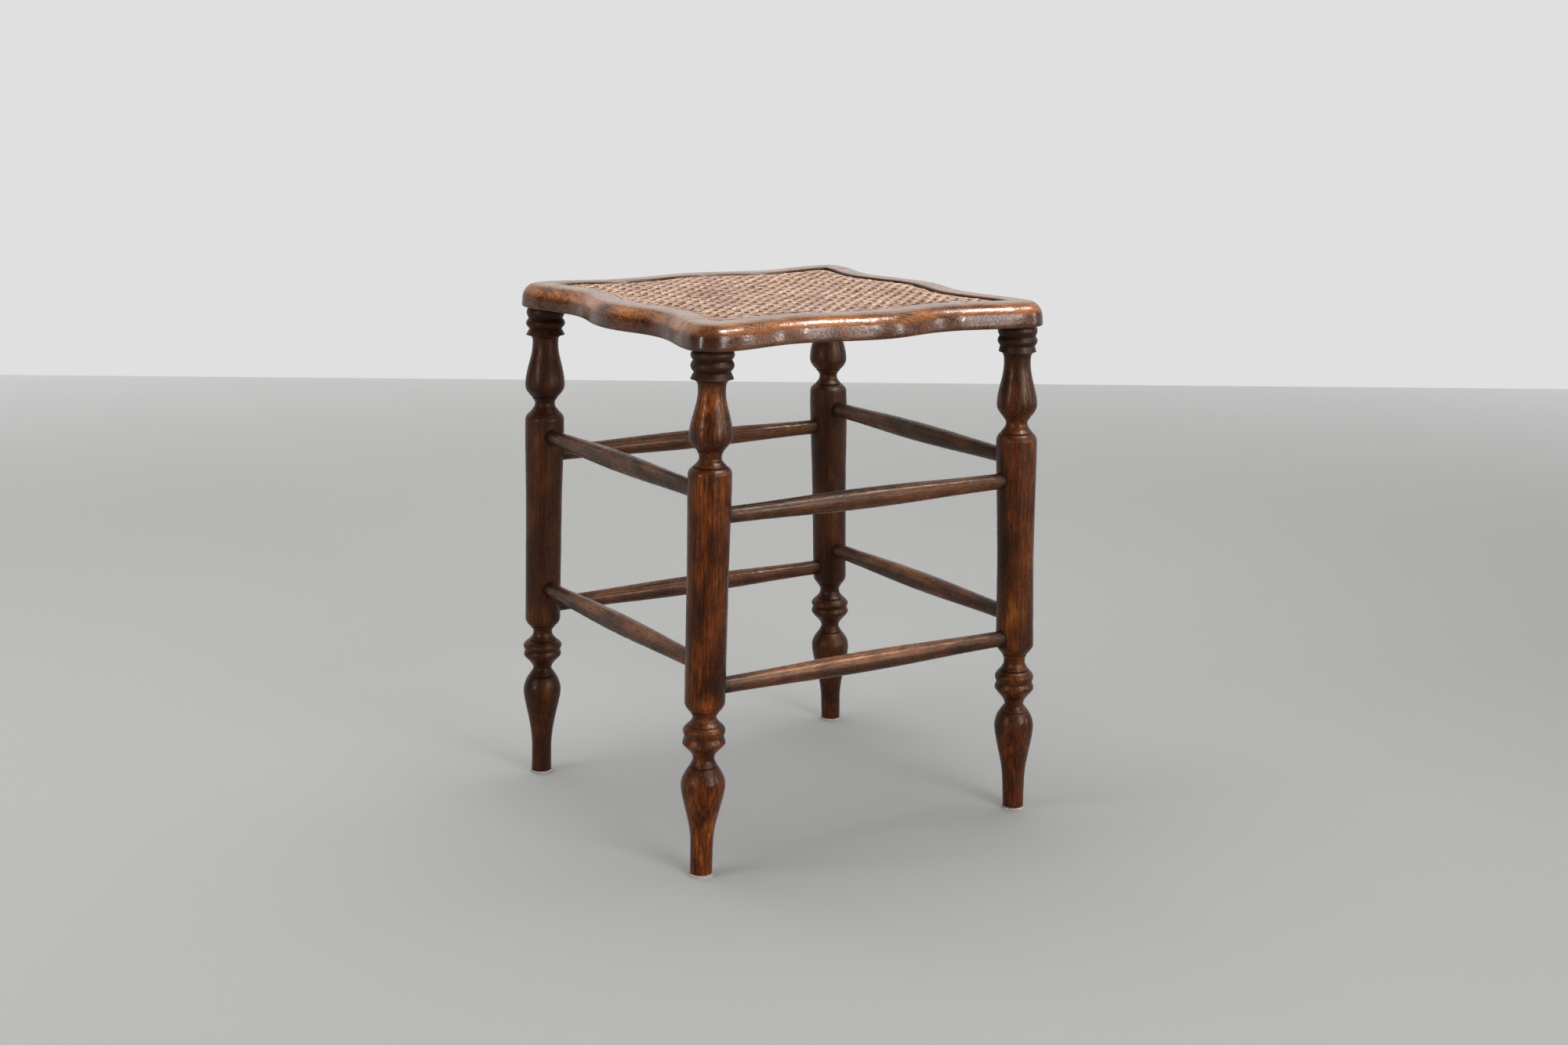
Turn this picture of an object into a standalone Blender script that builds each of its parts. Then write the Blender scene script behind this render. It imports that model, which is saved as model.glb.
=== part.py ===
# Cane seat stool: a wave-edged seat frame on four turned, splayed legs,
# tied by two levels of swelling stretchers, with a woven cane panel let into the seat.
# X runs along the front of the stool, Y from front to back, Z up, in metres.

import math

import bmesh
import bpy
from mathutils import Matrix, Vector

# Overall and seat frame
SEAT_HEIGHT = 0.460
SEAT_THICKNESS = 0.021
LEG_SPACING = 0.302  # between leg centres under the seat, along both sides
CORNER_OVERHANG = 0.0215  # seat edge beyond the leg centre, also the corner radius
WAVE_DEPTH = 0.013  # how far each side dips in between its corners and its middle
EDGE_ROUND = 0.012  # top round-over of the seat edge
EDGE_EASE = 0.002  # small chamfer under the seat edge
FRAME_WIDTH = 0.028  # from the seat edge in to the step down to the cane
LEDGE_WIDTH = 0.012  # ledge that carries the cane, inside the step
RECESS_DEPTH = 0.004  # step down from the seat top to the ledge
JOINT_SETBACK = 0.026  # side rails end this far short of the leg centres

# Dowels between the rails
DOWEL_DIAMETER = 0.008
DOWEL_LENGTH = 0.029
DOWEL_SPACING = 0.0205  # between the two dowels of one corner
DOWEL_RISE = 0.0085  # dowel centre above the underside of the seat

# Cane
CANE_PITCH = 0.0135
CANE_GAP = 0.0062
CANE_THICKNESS = 0.0016
CANE_HOLE_DIAMETER = 0.0045
BINDER_WIDTH = 0.005
BINDER_THICKNESS = 0.001

# Leg turning, diameters
TENON_DIAMETER = 0.020
BEAD_DIAMETER = 0.0347
BEAD_GROOVE_DIAMETER = 0.0312
FLANGE_DIAMETER = 0.0334
NECK_DIAMETER = 0.0223
VASE_DIAMETER = 0.0352
COVE_DIAMETER = 0.0180
SHAFT_TOP_DIAMETER = 0.0353
SHAFT_DIAMETER = 0.0326
LOWER_COVE_DIAMETER = 0.0189
LOWER_BEAD_DIAMETER = 0.0352
LOWER_GROOVE_DIAMETER = 0.0331
FOOT_NECK_DIAMETER = 0.0178
PEG_DIAMETER = 0.0353
ANKLE_DIAMETER = 0.0184

# Leg turning, places below the seat for the upper group
TENON_LENGTH = 0.014
BEAD_HEIGHT = 0.0097
FLANGE_HEIGHT = 0.0080
NECK_DROP = 0.0330
VASE_DROP = 0.0680
COVE_DROP = 0.0865
SHAFT_TOP_DROP = 0.1030
SHAFT_TAPER_LENGTH = 0.110  # the shaft narrows over this length, then runs straight

# Leg turning, places above the floor for the lower group
SHAFT_BOTTOM_HEIGHT = 0.1515
LOWER_COVE_HEIGHT = 0.1372
LOWER_BEADS_TOP_HEIGHT = 0.1235
LOWER_BEAD_STEP = 0.0092  # between the two lower beads
FOOT_NECK_HEIGHT = 0.1005
PEG_HEIGHT = 0.0775
ANKLE_HEIGHT = 0.0220
BELLY_FULLNESS = 0.78  # below 1 the bellies swell out sooner

# Feet
FOOT_SPREAD_X = 0.0110  # each foot stands this far outside its leg's top
FOOT_SPREAD_Y = 0.0010
PAD_DIAMETER = 0.0194
PAD_THICKNESS = 0.0020

# Stretchers
STRETCHER_END_DIAMETER = 0.0138
STRETCHER_MIDDLE_DIAMETER = 0.0178
STRETCHER_STOP = 0.0025  # stretcher ends this far short of the leg's centre line
SIDE_UPPER_HEIGHT = 0.3215
SIDE_LOWER_HEIGHT = 0.1793
FRONT_UPPER_HEIGHT = 0.3030
FRONT_LOWER_HEIGHT = 0.1605

# Fits and smoothness
CLEARANCE = 0.0003
CUT_MARGIN = 0.020  # cutters run this far past what they cut
MERGE_DISTANCE = 0.00003
HALVINGS = 40  # steps of the search for an outline's corner
SMOOTH_ANGLE = 45  # degrees; sharper edges stay crisp
WAVE_STEPS = 20
CORNER_STEPS = 4
ROUND_STEPS = 3
BEAD_STEPS = 4
SWING_STEPS = 4
LEG_SEGMENTS = 14
ROD_SEGMENTS = 10
HOLE_SEGMENTS = 5

HALF_SPACING = LEG_SPACING / 2
SEAT_BOTTOM = SEAT_HEIGHT - SEAT_THICKNESS
LEDGE_HEIGHT = SEAT_HEIGHT - RECESS_DEPTH
HALF_JOINT = HALF_SPACING - JOINT_SETBACK
OPENING_INSET = FRAME_WIDTH + LEDGE_WIDTH
REACH = HALF_SPACING + CORNER_OVERHANG
CORNERS = {
    "front_left": (-1, -1),
    "front_right": (1, -1),
    "back_left": (-1, 1),
    "back_right": (1, 1),
}


def clear_scene():
    for thing in list(bpy.data.objects):
        bpy.data.objects.remove(thing, do_unlink=True)


def make_material(name, color, roughness, metallic=0.0):
    material = bpy.data.materials.new(name)
    material.use_nodes = True
    shader = material.node_tree.nodes["Principled BSDF"]
    shader.inputs["Base Color"].default_value = (*color, 1.0)
    shader.inputs["Roughness"].default_value = roughness
    shader.inputs["Metallic"].default_value = metallic
    return material


def add_object(name, bm, material=None):
    bmesh.ops.recalc_face_normals(bm, faces=bm.faces)
    mesh = bpy.data.meshes.new(name)
    bm.to_mesh(mesh)
    bm.free()
    mesh.shade_smooth()
    mesh.set_sharp_from_angle(angle=math.radians(SMOOTH_ANGLE))
    thing = bpy.data.objects.new(name, mesh)
    bpy.context.scene.collection.objects.link(thing)
    if material is not None:
        mesh.materials.append(material)
    return thing


def add_cutter(name, bm):
    cutter = add_object(name, bm)
    cutter.hide_render = True
    cutter.display_type = "WIRE"
    return cutter


def cut(thing, cutter, operation="DIFFERENCE"):
    modifier = thing.modifiers.new(cutter.name, "BOOLEAN")
    modifier.operation = operation
    modifier.solver = "EXACT"
    modifier.object = cutter


# One smooth swing between two diameters, as a turner's chisel leaves it.
def swing(start, end, share, fullness=1.0):
    blend = (1 - math.cos(math.pi * share ** fullness)) / 2
    return start + (end - start) * blend


def swing_points(start, end, fullness=1.0):
    points = []
    for step in range(1, SWING_STEPS + 1):
        share = step / SWING_STEPS
        radius = swing(start[0], end[0], share, fullness)
        points.append((radius, start[1] + (end[1] - start[1]) * share))
    return points


# A belly swells out of the narrow end, so its fullness works from that end.
def belly_points(wide, narrow):
    rising = swing_points(narrow, wide, BELLY_FULLNESS)
    return rising[-2::-1] + [narrow]


# A half-round bead between two grooves, listed from its upper groove down.
def bead_points(groove, crest, top, bottom):
    middle = (top + bottom) / 2
    half = (top - bottom) / 2
    points = []
    for step in range(BEAD_STEPS + 1):
        angle = math.pi * step / BEAD_STEPS
        points.append((groove + (crest - groove) * math.sin(angle), middle + half * math.cos(angle)))
    return points


def lathe(profile, segments):
    bm = bmesh.new()
    line = [bm.verts.new((radius, 0, height)) for radius, height in profile]
    edges = [bm.edges.new(pair) for pair in zip(line, line[1:])]
    bmesh.ops.spin(
        bm, geom=line + edges, cent=(0, 0, 0), axis=(0, 0, 1),
        angle=math.tau, steps=segments, use_merge=True,
    )
    bmesh.ops.remove_doubles(bm, verts=bm.verts, dist=MERGE_DISTANCE)
    return bm


def rod(radius, bottom, top, segments):
    return lathe([(0, top), (radius, top), (radius, bottom), (0, bottom)], segments)


# Distance of the seat's outline from the middle line, inset by some width, at place t along a side.
def wave(t, inset):
    dip = WAVE_DEPTH / 2 * (1 - math.cos(math.tau * t / HALF_SPACING))
    return REACH - inset - dip


# Where an inset outline's two sides meet on the diagonal, inside the corner round.
def wave_corner(inset):
    low = 0.0
    high = HALF_SPACING
    for _ in range(HALVINGS):
        middle = (low + high) / 2
        if wave(middle, inset) > middle:
            low = middle
        else:
            high = middle
    return low


def turn_quarter(point, quarter):
    x, y = point
    for _ in range(quarter):
        x, y = -y, x
    return x, y


# The closed outline, counterclockwise from the front left corner.
def wave_outline(inset):
    round_left = CORNER_OVERHANG - inset
    half = HALF_SPACING if round_left > 0 else wave_corner(inset)
    points = []
    for quarter in range(4):
        side = []
        for step in range(WAVE_STEPS + 1):
            t = -half + 2 * half * step / WAVE_STEPS
            side.append((t, -wave(t, inset)))
        if round_left > 0:
            for step in range(1, CORNER_STEPS + 1):
                angle = math.pi / 2 * step / (CORNER_STEPS + 1)
                x = half + round_left * math.sin(angle)
                y = -half - round_left * math.cos(angle)
                side.append((x, y))
        else:
            side.pop()
        points.extend(turn_quarter(point, quarter) for point in side)
    return points


# A solid through closed loops of equal count, capped at both ends.
def loft(loops):
    bm = bmesh.new()
    rings = [[bm.verts.new((x, y, height)) for x, y in loop] for loop, height in loops]
    for lower, upper in zip(rings, rings[1:]):
        for index in range(len(lower)):
            after = (index + 1) % len(lower)
            bm.faces.new((lower[index], lower[after], upper[after], upper[index]))
    bm.faces.new(rings[0][::-1])
    bm.faces.new(rings[-1])
    return bm


def prism(inset, bottom, top):
    outline = wave_outline(inset)
    return loft([(outline, bottom), (outline, top)])


def box(low, high):
    bm = bmesh.new()
    size = Vector(high) - Vector(low)
    middle = (Vector(high) + Vector(low)) / 2
    bmesh.ops.create_cube(bm, size=1, matrix=Matrix.Translation(middle) @ Matrix.Diagonal((*size, 1)))
    return bm


# Leg centre line: its point at a height above the floor.
def leg_point(corner, height):
    sign_x, sign_y = CORNERS[corner]
    share = 1 - height / SEAT_BOTTOM
    x = sign_x * (HALF_SPACING + FOOT_SPREAD_X * share)
    y = sign_y * (HALF_SPACING + FOOT_SPREAD_Y * share)
    return Vector((x, y, height))


# The leg's own frame: origin on the seat's underside, +Z up along the leaning centre line.
def place_on_leg(thing, corner):
    top = leg_point(corner, SEAT_BOTTOM)
    direction = top - leg_point(corner, 0)
    thing.location = top
    thing.rotation_mode = "QUATERNION"
    thing.rotation_quaternion = direction.to_track_quat("Z", "Y")


def leg_profile():
    length = (leg_point("front_left", SEAT_BOTTOM) - leg_point("front_left", 0)).length
    tenon = TENON_DIAMETER / 2
    groove = BEAD_GROOVE_DIAMETER / 2
    bead = BEAD_DIAMETER / 2
    second = -BEAD_HEIGHT
    flange = second - BEAD_HEIGHT
    flange_foot = flange - FLANGE_HEIGHT
    neck = (NECK_DIAMETER / 2, -NECK_DROP)
    vase = (VASE_DIAMETER / 2, -VASE_DROP)
    cove = (COVE_DIAMETER / 2, -COVE_DROP)
    shaft_top = (SHAFT_TOP_DIAMETER / 2, -SHAFT_TOP_DROP)
    shaft_waist = (SHAFT_DIAMETER / 2, shaft_top[1] - SHAFT_TAPER_LENGTH)
    shaft_bottom = (SHAFT_DIAMETER / 2, SHAFT_BOTTOM_HEIGHT - length)
    lower_cove = (LOWER_COVE_DIAMETER / 2, LOWER_COVE_HEIGHT - length)
    bead_a = (LOWER_BEAD_DIAMETER / 2, LOWER_BEADS_TOP_HEIGHT - length)
    bead_b = (bead_a[0], bead_a[1] - LOWER_BEAD_STEP)
    foot_neck = (FOOT_NECK_DIAMETER / 2, FOOT_NECK_HEIGHT - length)
    peg = (PEG_DIAMETER / 2, PEG_HEIGHT - length)
    ankle = (ANKLE_DIAMETER / 2, ANKLE_HEIGHT - length)

    profile = [(0, TENON_LENGTH), (tenon, TENON_LENGTH), (tenon, 0)]
    profile += bead_points(groove, bead, 0, second)
    profile += bead_points(groove, bead, second, flange)[1:]
    profile += [(FLANGE_DIAMETER / 2, (flange + flange_foot) / 2), (neck[0], flange_foot), neck]
    profile += swing_points(neck, vase)
    profile += belly_points(vase, cove)
    profile += swing_points(cove, shaft_top)
    profile += swing_points(shaft_top, shaft_waist)
    profile += [shaft_bottom]
    profile += swing_points(shaft_bottom, lower_cove)
    profile += swing_points(lower_cove, bead_a)
    profile += [(LOWER_GROOVE_DIAMETER / 2, (bead_a[1] + bead_b[1]) / 2), bead_b]
    profile += swing_points(bead_b, foot_neck)
    profile += swing_points(foot_neck, peg, BELLY_FULLNESS)
    profile += swing_points(peg, ankle, BELLY_FULLNESS)
    profile += [(ankle[0], -length), (0, -length)]
    return profile


# Slide a ring of leg vertices along the leg so that it lies level in the room.
def level_ring(leg, old_height, world_height):
    matrix = leg.rotation_quaternion.to_matrix()
    for vertex in leg.data.vertices:
        if abs(vertex.co.z - old_height) < MERGE_DISTANCE:
            rest = matrix[2][0] * vertex.co.x + matrix[2][1] * vertex.co.y
            vertex.co.z = (world_height - leg.location.z - rest) / matrix[2][2]


def make_leg(corner, material):
    profile = leg_profile()
    leg = add_object("leg_" + corner, lathe(profile, LEG_SEGMENTS), material)
    place_on_leg(leg, corner)
    level_ring(leg, 0, SEAT_BOTTOM - CLEARANCE)
    level_ring(leg, profile[-1][1], PAD_THICKNESS + CLEARANCE)

    socket_radius = TENON_DIAMETER / 2 + CLEARANCE
    socket = rod(socket_radius, -CUT_MARGIN, TENON_LENGTH + CLEARANCE, LEG_SEGMENTS)
    cutter = add_cutter("socket_" + corner, socket)
    place_on_leg(cutter, corner)
    return leg, cutter


def make_pad(corner, material):
    pad = rod(PAD_DIAMETER / 2, 0, PAD_THICKNESS, LEG_SEGMENTS)
    thing = add_object("foot_pad_" + corner, pad, material)
    thing.location = leg_point(corner, 0)


def stretcher_profile(half_length):
    end = STRETCHER_END_DIAMETER / 2
    middle = STRETCHER_MIDDLE_DIAMETER / 2
    shoulder = half_length + STRETCHER_STOP - SHAFT_TOP_DIAMETER / 2
    half = [(0, half_length), (end, half_length), (end, shoulder)]
    half += swing_points((end, shoulder), (middle, 0))
    return half + [(radius, -place) for radius, place in half[-2::-1]]


# A stretcher lies between the centre lines of two legs, and each leg gets its mortise.
def make_stretcher(name, first, second, height, legs, material):
    start = leg_point(first, height)
    end = leg_point(second, height)
    run = end - start
    half_length = run.length / 2 - STRETCHER_STOP
    turn = run.to_track_quat("Z", "X")
    bm = lathe(stretcher_profile(half_length), ROD_SEGMENTS)
    stretcher = add_object(name, bm, material)
    stretcher.location = (start + end) / 2
    stretcher.rotation_mode = "QUATERNION"
    stretcher.rotation_quaternion = turn

    hole = STRETCHER_END_DIAMETER / 2 + CLEARANCE
    stop = STRETCHER_STOP - CLEARANCE
    for corner, place, way in ((first, start, turn), (second, end, (-run).to_track_quat("Z", "X"))):
        mortise = rod(hole, stop, SHAFT_TOP_DIAMETER + CUT_MARGIN, ROD_SEGMENTS)
        cutter = add_cutter(name + "_mortise_" + corner, mortise)
        cutter.location = place
        cutter.rotation_mode = "QUATERNION"
        cutter.rotation_quaternion = way
        cut(legs[corner], cutter)


# The seat frame before it is divided: a waved board with its top edge rounded over.
def seat_blank():
    loops = [(wave_outline(EDGE_EASE), SEAT_BOTTOM), (wave_outline(0), SEAT_BOTTOM + EDGE_EASE)]
    for step in range(ROUND_STEPS + 1):
        angle = math.pi / 2 * step / ROUND_STEPS
        inset = EDGE_ROUND * (1 - math.cos(angle))
        loops.append((wave_outline(inset), SEAT_HEIGHT - EDGE_ROUND * (1 - math.sin(angle))))
    return loft(loops)


# Middle of the cane holes and of the binder that covers them, from the seat edge.
def hole_inset():
    return FRAME_WIDTH + LEDGE_WIDTH / 2


# Gaps of the weave along a line: one in the middle, and as many to each side as fit its half length.
def gap_places(half_length):
    count = int(half_length / CANE_PITCH)
    return [index * CANE_PITCH for index in range(-count, count + 1)]


# Strands run midway between the gaps, and their holes lie in line with them.
def strand_places(half_length):
    count = int(half_length / CANE_PITCH + 1 / 2)
    return [(index + 1 / 2) * CANE_PITCH for index in range(-count, count)]


# Half width of the opening at the deepest dip of its sides.
def opening_dip():
    return wave(HALF_SPACING / 2, OPENING_INSET)


def cane_holes():
    bm = bmesh.new()
    for quarter in range(4):
        for t in strand_places(wave_corner(hole_inset())):
            x, y = turn_quarter((t, -wave(t, hole_inset())), quarter)
            place = Matrix.Translation((x, y, (SEAT_BOTTOM + LEDGE_HEIGHT) / 2))
            bmesh.ops.create_cone(
                bm, cap_ends=True, segments=HOLE_SEGMENTS, radius1=CANE_HOLE_DIAMETER / 2,
                radius2=CANE_HOLE_DIAMETER / 2, depth=SEAT_THICKNESS + CUT_MARGIN, matrix=place,
            )
    return bm


# Dowel places at one corner, on the joint between a side rail and a front or back rail.
def dowel_places(corner):
    sign_x, sign_y = CORNERS[corner]
    middle = wave(HALF_JOINT, OPENING_INSET / 2)
    for name, shift in (("inner", -DOWEL_SPACING / 2), ("outer", DOWEL_SPACING / 2)):
        place = Vector((sign_x * (middle + shift), sign_y * HALF_JOINT, SEAT_BOTTOM + DOWEL_RISE))
        yield name, place


def make_dowels(rails, material):
    along_y = Matrix.Rotation(math.pi / 2, 4, "X")
    for corner, (sign_x, sign_y) in CORNERS.items():
        side = rails["left_rail" if sign_x < 0 else "right_rail"]
        end = rails["front_rail" if sign_y < 0 else "back_rail"]
        for name, place in dowel_places(corner):
            half = DOWEL_LENGTH / 2
            pin = rod(DOWEL_DIAMETER / 2, -half, half, ROD_SEGMENTS)
            dowel = add_object(f"dowel_{corner}_{name}", pin, material)
            dowel.matrix_world = Matrix.Translation(place) @ along_y
            hole = rod(DOWEL_DIAMETER / 2 + CLEARANCE, -half - CLEARANCE, half + CLEARANCE, ROD_SEGMENTS)
            cutter = add_cutter(f"dowel_hole_{corner}_{name}", hole)
            cutter.matrix_world = dowel.matrix_world
            cut(side, cutter)
            cut(end, cutter)


def make_rails(sockets, material):
    far = REACH + CUT_MARGIN
    low = SEAT_BOTTOM - CUT_MARGIN
    high = SEAT_HEIGHT + CUT_MARGIN
    inside = opening_dip() - CLEARANCE
    gap = HALF_JOINT - CLEARANCE
    regions = {
        "front_rail": ((-far, -far, low), (far, 0, high)),
        "back_rail": ((-far, 0, low), (far, far, high)),
        "left_rail": ((-far, -gap, low), (-inside, gap, high)),
        "right_rail": ((inside, -gap, low), (far, gap, high)),
    }
    recess = add_cutter("recess", prism(FRAME_WIDTH, LEDGE_HEIGHT, high))
    opening = add_cutter("opening", prism(OPENING_INSET, low, high))
    holes = add_cutter("cane_holes", cane_holes())
    side_places = (
        add_cutter("left_place", box((-far, -HALF_JOINT, low), (-inside, HALF_JOINT, high))),
        add_cutter("right_place", box((inside, -HALF_JOINT, low), (far, HALF_JOINT, high))),
    )
    rails = {}
    for name, (corner_low, corner_high) in regions.items():
        rail = add_object(name, seat_blank(), material)
        cut(rail, add_cutter(name + "_region", box(corner_low, corner_high)), "INTERSECT")
        cut(rail, recess)
        cut(rail, opening)
        if name in ("front_rail", "back_rail"):
            for place in side_places:
                cut(rail, place)
        cut(rail, holes)
        rails[name] = rail
    for corner, (_, sign_y) in CORNERS.items():
        cut(rails["front_rail" if sign_y < 0 else "back_rail"], sockets[corner])
    return rails


# The cane as one flat net at its true pitch, resting on the ledge.
def make_cane(material):
    bottom = LEDGE_HEIGHT + CLEARANCE
    top = bottom + CANE_THICKNESS
    panel = add_object("cane_panel", prism(FRAME_WIDTH + CLEARANCE, bottom, top), material)
    gaps = bmesh.new()
    size = Matrix.Diagonal((CANE_GAP, CANE_GAP, CANE_THICKNESS + CUT_MARGIN, 1))
    places = gap_places(opening_dip())
    for x in places:
        for y in places:
            place = Matrix.Translation((x, y, (bottom + top) / 2))
            bmesh.ops.create_cube(gaps, size=1, matrix=place @ size)
    cut(panel, add_cutter("cane_gaps", gaps))


# A flat strip that runs round the panel over the cane holes.
def make_binder(material):
    bottom = LEDGE_HEIGHT + CLEARANCE * 2 + CANE_THICKNESS
    top = bottom + BINDER_THICKNESS
    outer = wave_outline(hole_inset() - BINDER_WIDTH / 2)
    inner = wave_outline(hole_inset() + BINDER_WIDTH / 2)
    bm = bmesh.new()
    loops = ((outer, bottom), (outer, top), (inner, top), (inner, bottom))
    rings = [[bm.verts.new((x, y, height)) for x, y in loop] for loop, height in loops]
    for ring, other in zip(rings, rings[1:] + rings[:1]):
        for index in range(len(ring)):
            after = (index + 1) % len(ring)
            bm.faces.new((ring[index], ring[after], other[after], other[index]))
    add_object("cane_binder", bm, material)


def build():
    clear_scene()
    oak = make_material("dark_oak", (0.085, 0.032, 0.014), 0.35)
    seat_oak = make_material("seat_oak", (0.155, 0.062, 0.026), 0.38)
    dowel_oak = make_material("dowel_oak", (0.25, 0.14, 0.07), 0.6)
    stretcher_oak = make_material("stretcher_oak", (0.085, 0.032, 0.014), 0.38)
    cane = make_material("cane", (0.42, 0.25, 0.15), 0.5)
    binder_cane = make_material("binder_cane", (0.45, 0.28, 0.17), 0.5)
    felt = make_material("pad_felt", (0.55, 0.5, 0.43), 0.9)

    legs = {}
    sockets = {}
    for corner in CORNERS:
        legs[corner], sockets[corner] = make_leg(corner, oak)
        make_pad(corner, felt)

    rails = make_rails(sockets, seat_oak)
    make_dowels(rails, dowel_oak)
    make_cane(cane)
    make_binder(binder_cane)

    sides = {
        "front": ("front_left", "front_right", FRONT_LOWER_HEIGHT, FRONT_UPPER_HEIGHT),
        "back": ("back_left", "back_right", FRONT_LOWER_HEIGHT, FRONT_UPPER_HEIGHT),
        "left": ("front_left", "back_left", SIDE_LOWER_HEIGHT, SIDE_UPPER_HEIGHT),
        "right": ("front_right", "back_right", SIDE_LOWER_HEIGHT, SIDE_UPPER_HEIGHT),
    }
    for side, (first, second, lower, upper) in sides.items():
        make_stretcher(f"stretcher_{side}_lower", first, second, lower, legs, stretcher_oak)
        make_stretcher(f"stretcher_{side}_upper", first, second, upper, legs, stretcher_oak)


build()
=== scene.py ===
import math

import bmesh
import bpy
import numpy as np
from mathutils import Matrix, Vector, noise


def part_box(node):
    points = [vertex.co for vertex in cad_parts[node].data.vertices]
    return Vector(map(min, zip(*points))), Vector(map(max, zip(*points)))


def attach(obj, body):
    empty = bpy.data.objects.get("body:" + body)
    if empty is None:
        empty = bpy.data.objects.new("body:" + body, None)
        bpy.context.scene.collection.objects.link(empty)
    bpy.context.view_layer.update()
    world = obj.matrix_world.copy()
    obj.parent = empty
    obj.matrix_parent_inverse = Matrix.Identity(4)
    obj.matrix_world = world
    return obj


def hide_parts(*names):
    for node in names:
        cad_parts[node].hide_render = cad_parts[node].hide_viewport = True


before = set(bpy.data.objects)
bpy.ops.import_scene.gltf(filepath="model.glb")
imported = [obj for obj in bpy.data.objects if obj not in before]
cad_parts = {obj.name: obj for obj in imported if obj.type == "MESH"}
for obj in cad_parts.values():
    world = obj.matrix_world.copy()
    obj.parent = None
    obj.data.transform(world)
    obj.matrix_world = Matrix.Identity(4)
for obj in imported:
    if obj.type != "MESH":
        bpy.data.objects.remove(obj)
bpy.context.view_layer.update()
scene = bpy.context.scene
corners = {"front_left": (-1, -1), "front_right": (1, -1), "back_left": (-1, 1), "back_right": (1, 1)}


# Small helpers for node trees

def put(tree, kind, inputs=None, **settings):
    node = tree.nodes.new(kind)
    for key, value in settings.items():
        setattr(node, key, value)
    for key, value in (inputs or {}).items():
        if isinstance(value, bpy.types.NodeSocket):
            tree.links.new(value, node.inputs[key])
        else:
            node.inputs[key].default_value = value
    return node


def calc(tree, operation, *values):
    return put(tree, "ShaderNodeMath", dict(enumerate(values)), operation=operation).outputs[0]


def vector(tree, x=0.0, y=0.0, z=0.0):
    return put(tree, "ShaderNodeCombineXYZ", {0: x, 1: y, 2: z}).outputs[0]


def ramp(tree, value, low, high, newLow=0.0, newHigh=1.0):  # smooth step between two values
    inputs = {0: value, 1: low, 2: high, 3: newLow, 4: newHigh}
    return put(tree, "ShaderNodeMapRange", inputs, interpolation_type="SMOOTHSTEP").outputs[0]


def blendColor(tree, share, first, second, mode="MIX"):
    node = put(tree, "ShaderNodeMix", data_type="RGBA", blend_type=mode)
    for index, value in ((0, share), (6, first), (7, second)):
        if isinstance(value, bpy.types.NodeSocket):
            tree.links.new(value, node.inputs[index])
        else:
            node.inputs[index].default_value = (*value, 1.0) if index else value
    return node.outputs[2]


def colorRamp(tree, value, stops):
    node = put(tree, "ShaderNodeValToRGB", {0: value})
    elements = node.color_ramp.elements
    while len(elements) < len(stops):
        elements.new(1.0)
    for element, (place, color) in zip(elements, stops):
        element.position = place
        element.color = (*color, 1.0)
    return node.outputs[0]


def noiseOn(tree, place, scales, detail=2.0, roughness=0.5):  # noise stretched by a scale for each axis
    scaled = put(tree, "ShaderNodeVectorMath", {0: place, 1: scales}, operation="MULTIPLY").outputs[0]
    inputs = {"Vector": scaled, "Scale": 1.0, "Detail": detail, "Roughness": roughness}
    return put(tree, "ShaderNodeTexNoise", inputs).outputs["Fac"]


def newTree(name, inputs):
    tree = bpy.data.node_groups.new(name, "GeometryNodeTree")
    for label, kind in inputs.items():
        tree.interface.new_socket(label, in_out="INPUT", socket_type="NodeSocket" + kind)
    tree.interface.new_socket("Geometry", in_out="OUTPUT", socket_type="NodeSocketGeometry")
    return tree, put(tree, "NodeGroupInput").outputs, put(tree, "NodeGroupOutput")


# Runs a geometry tree on a base mesh and hands back the plain mesh that it makes.
def growMesh(tree, values, base=None):
    carrier = bpy.data.objects.new(tree.name, base or bpy.data.meshes.new(tree.name))
    scene.collection.objects.link(carrier)
    modifier = carrier.modifiers.new(tree.name, "NODES")
    modifier.node_group = tree
    sockets = [item for item in tree.interface.items_tree if item.in_out == "INPUT"]
    for item in sockets:
        if item.name in values:
            modifier[item.identifier] = values[item.name]
    depsgraph = bpy.context.evaluated_depsgraph_get()
    made = carrier.evaluated_get(depsgraph)
    mesh = bpy.data.meshes.new_from_object(made, preserve_all_data_layers=True, depsgraph=depsgraph)
    bpy.data.objects.remove(carrier)
    return mesh


# Small helpers for meshes

def addPiece(name, mesh, slotName, *nodes):
    mesh.name = name
    piece = bpy.data.objects.new(name, mesh)
    scene.collection.objects.link(piece)
    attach(piece, "root")
    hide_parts(*nodes)
    return piece


def toMesh(name, bm, mergeDistance=1e-6):
    bmesh.ops.remove_doubles(bm, verts=bm.verts, dist=mergeDistance)
    bmesh.ops.dissolve_degenerate(bm, edges=bm.edges, dist=mergeDistance)
    bmesh.ops.recalc_face_normals(bm, faces=bm.faces)
    mesh = bpy.data.meshes.new(name)
    bm.to_mesh(mesh)
    bm.free()
    return mesh


# Skins rows of points, each row a closed ring, and closes both ends.
def skinRows(name, rows):
    bm = bmesh.new()
    rings = [[bm.verts.new(point) for point in row] for row in rows]
    for ring, after in zip(rings, rings[1:]):
        for a, b in zip(range(len(ring)), [*range(1, len(ring)), 0]):
            bm.faces.new((ring[a], ring[b], after[b], after[a]))
    bm.faces.new(rings[0][::-1])
    bm.faces.new(rings[-1])
    return toMesh(name, bm)


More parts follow.
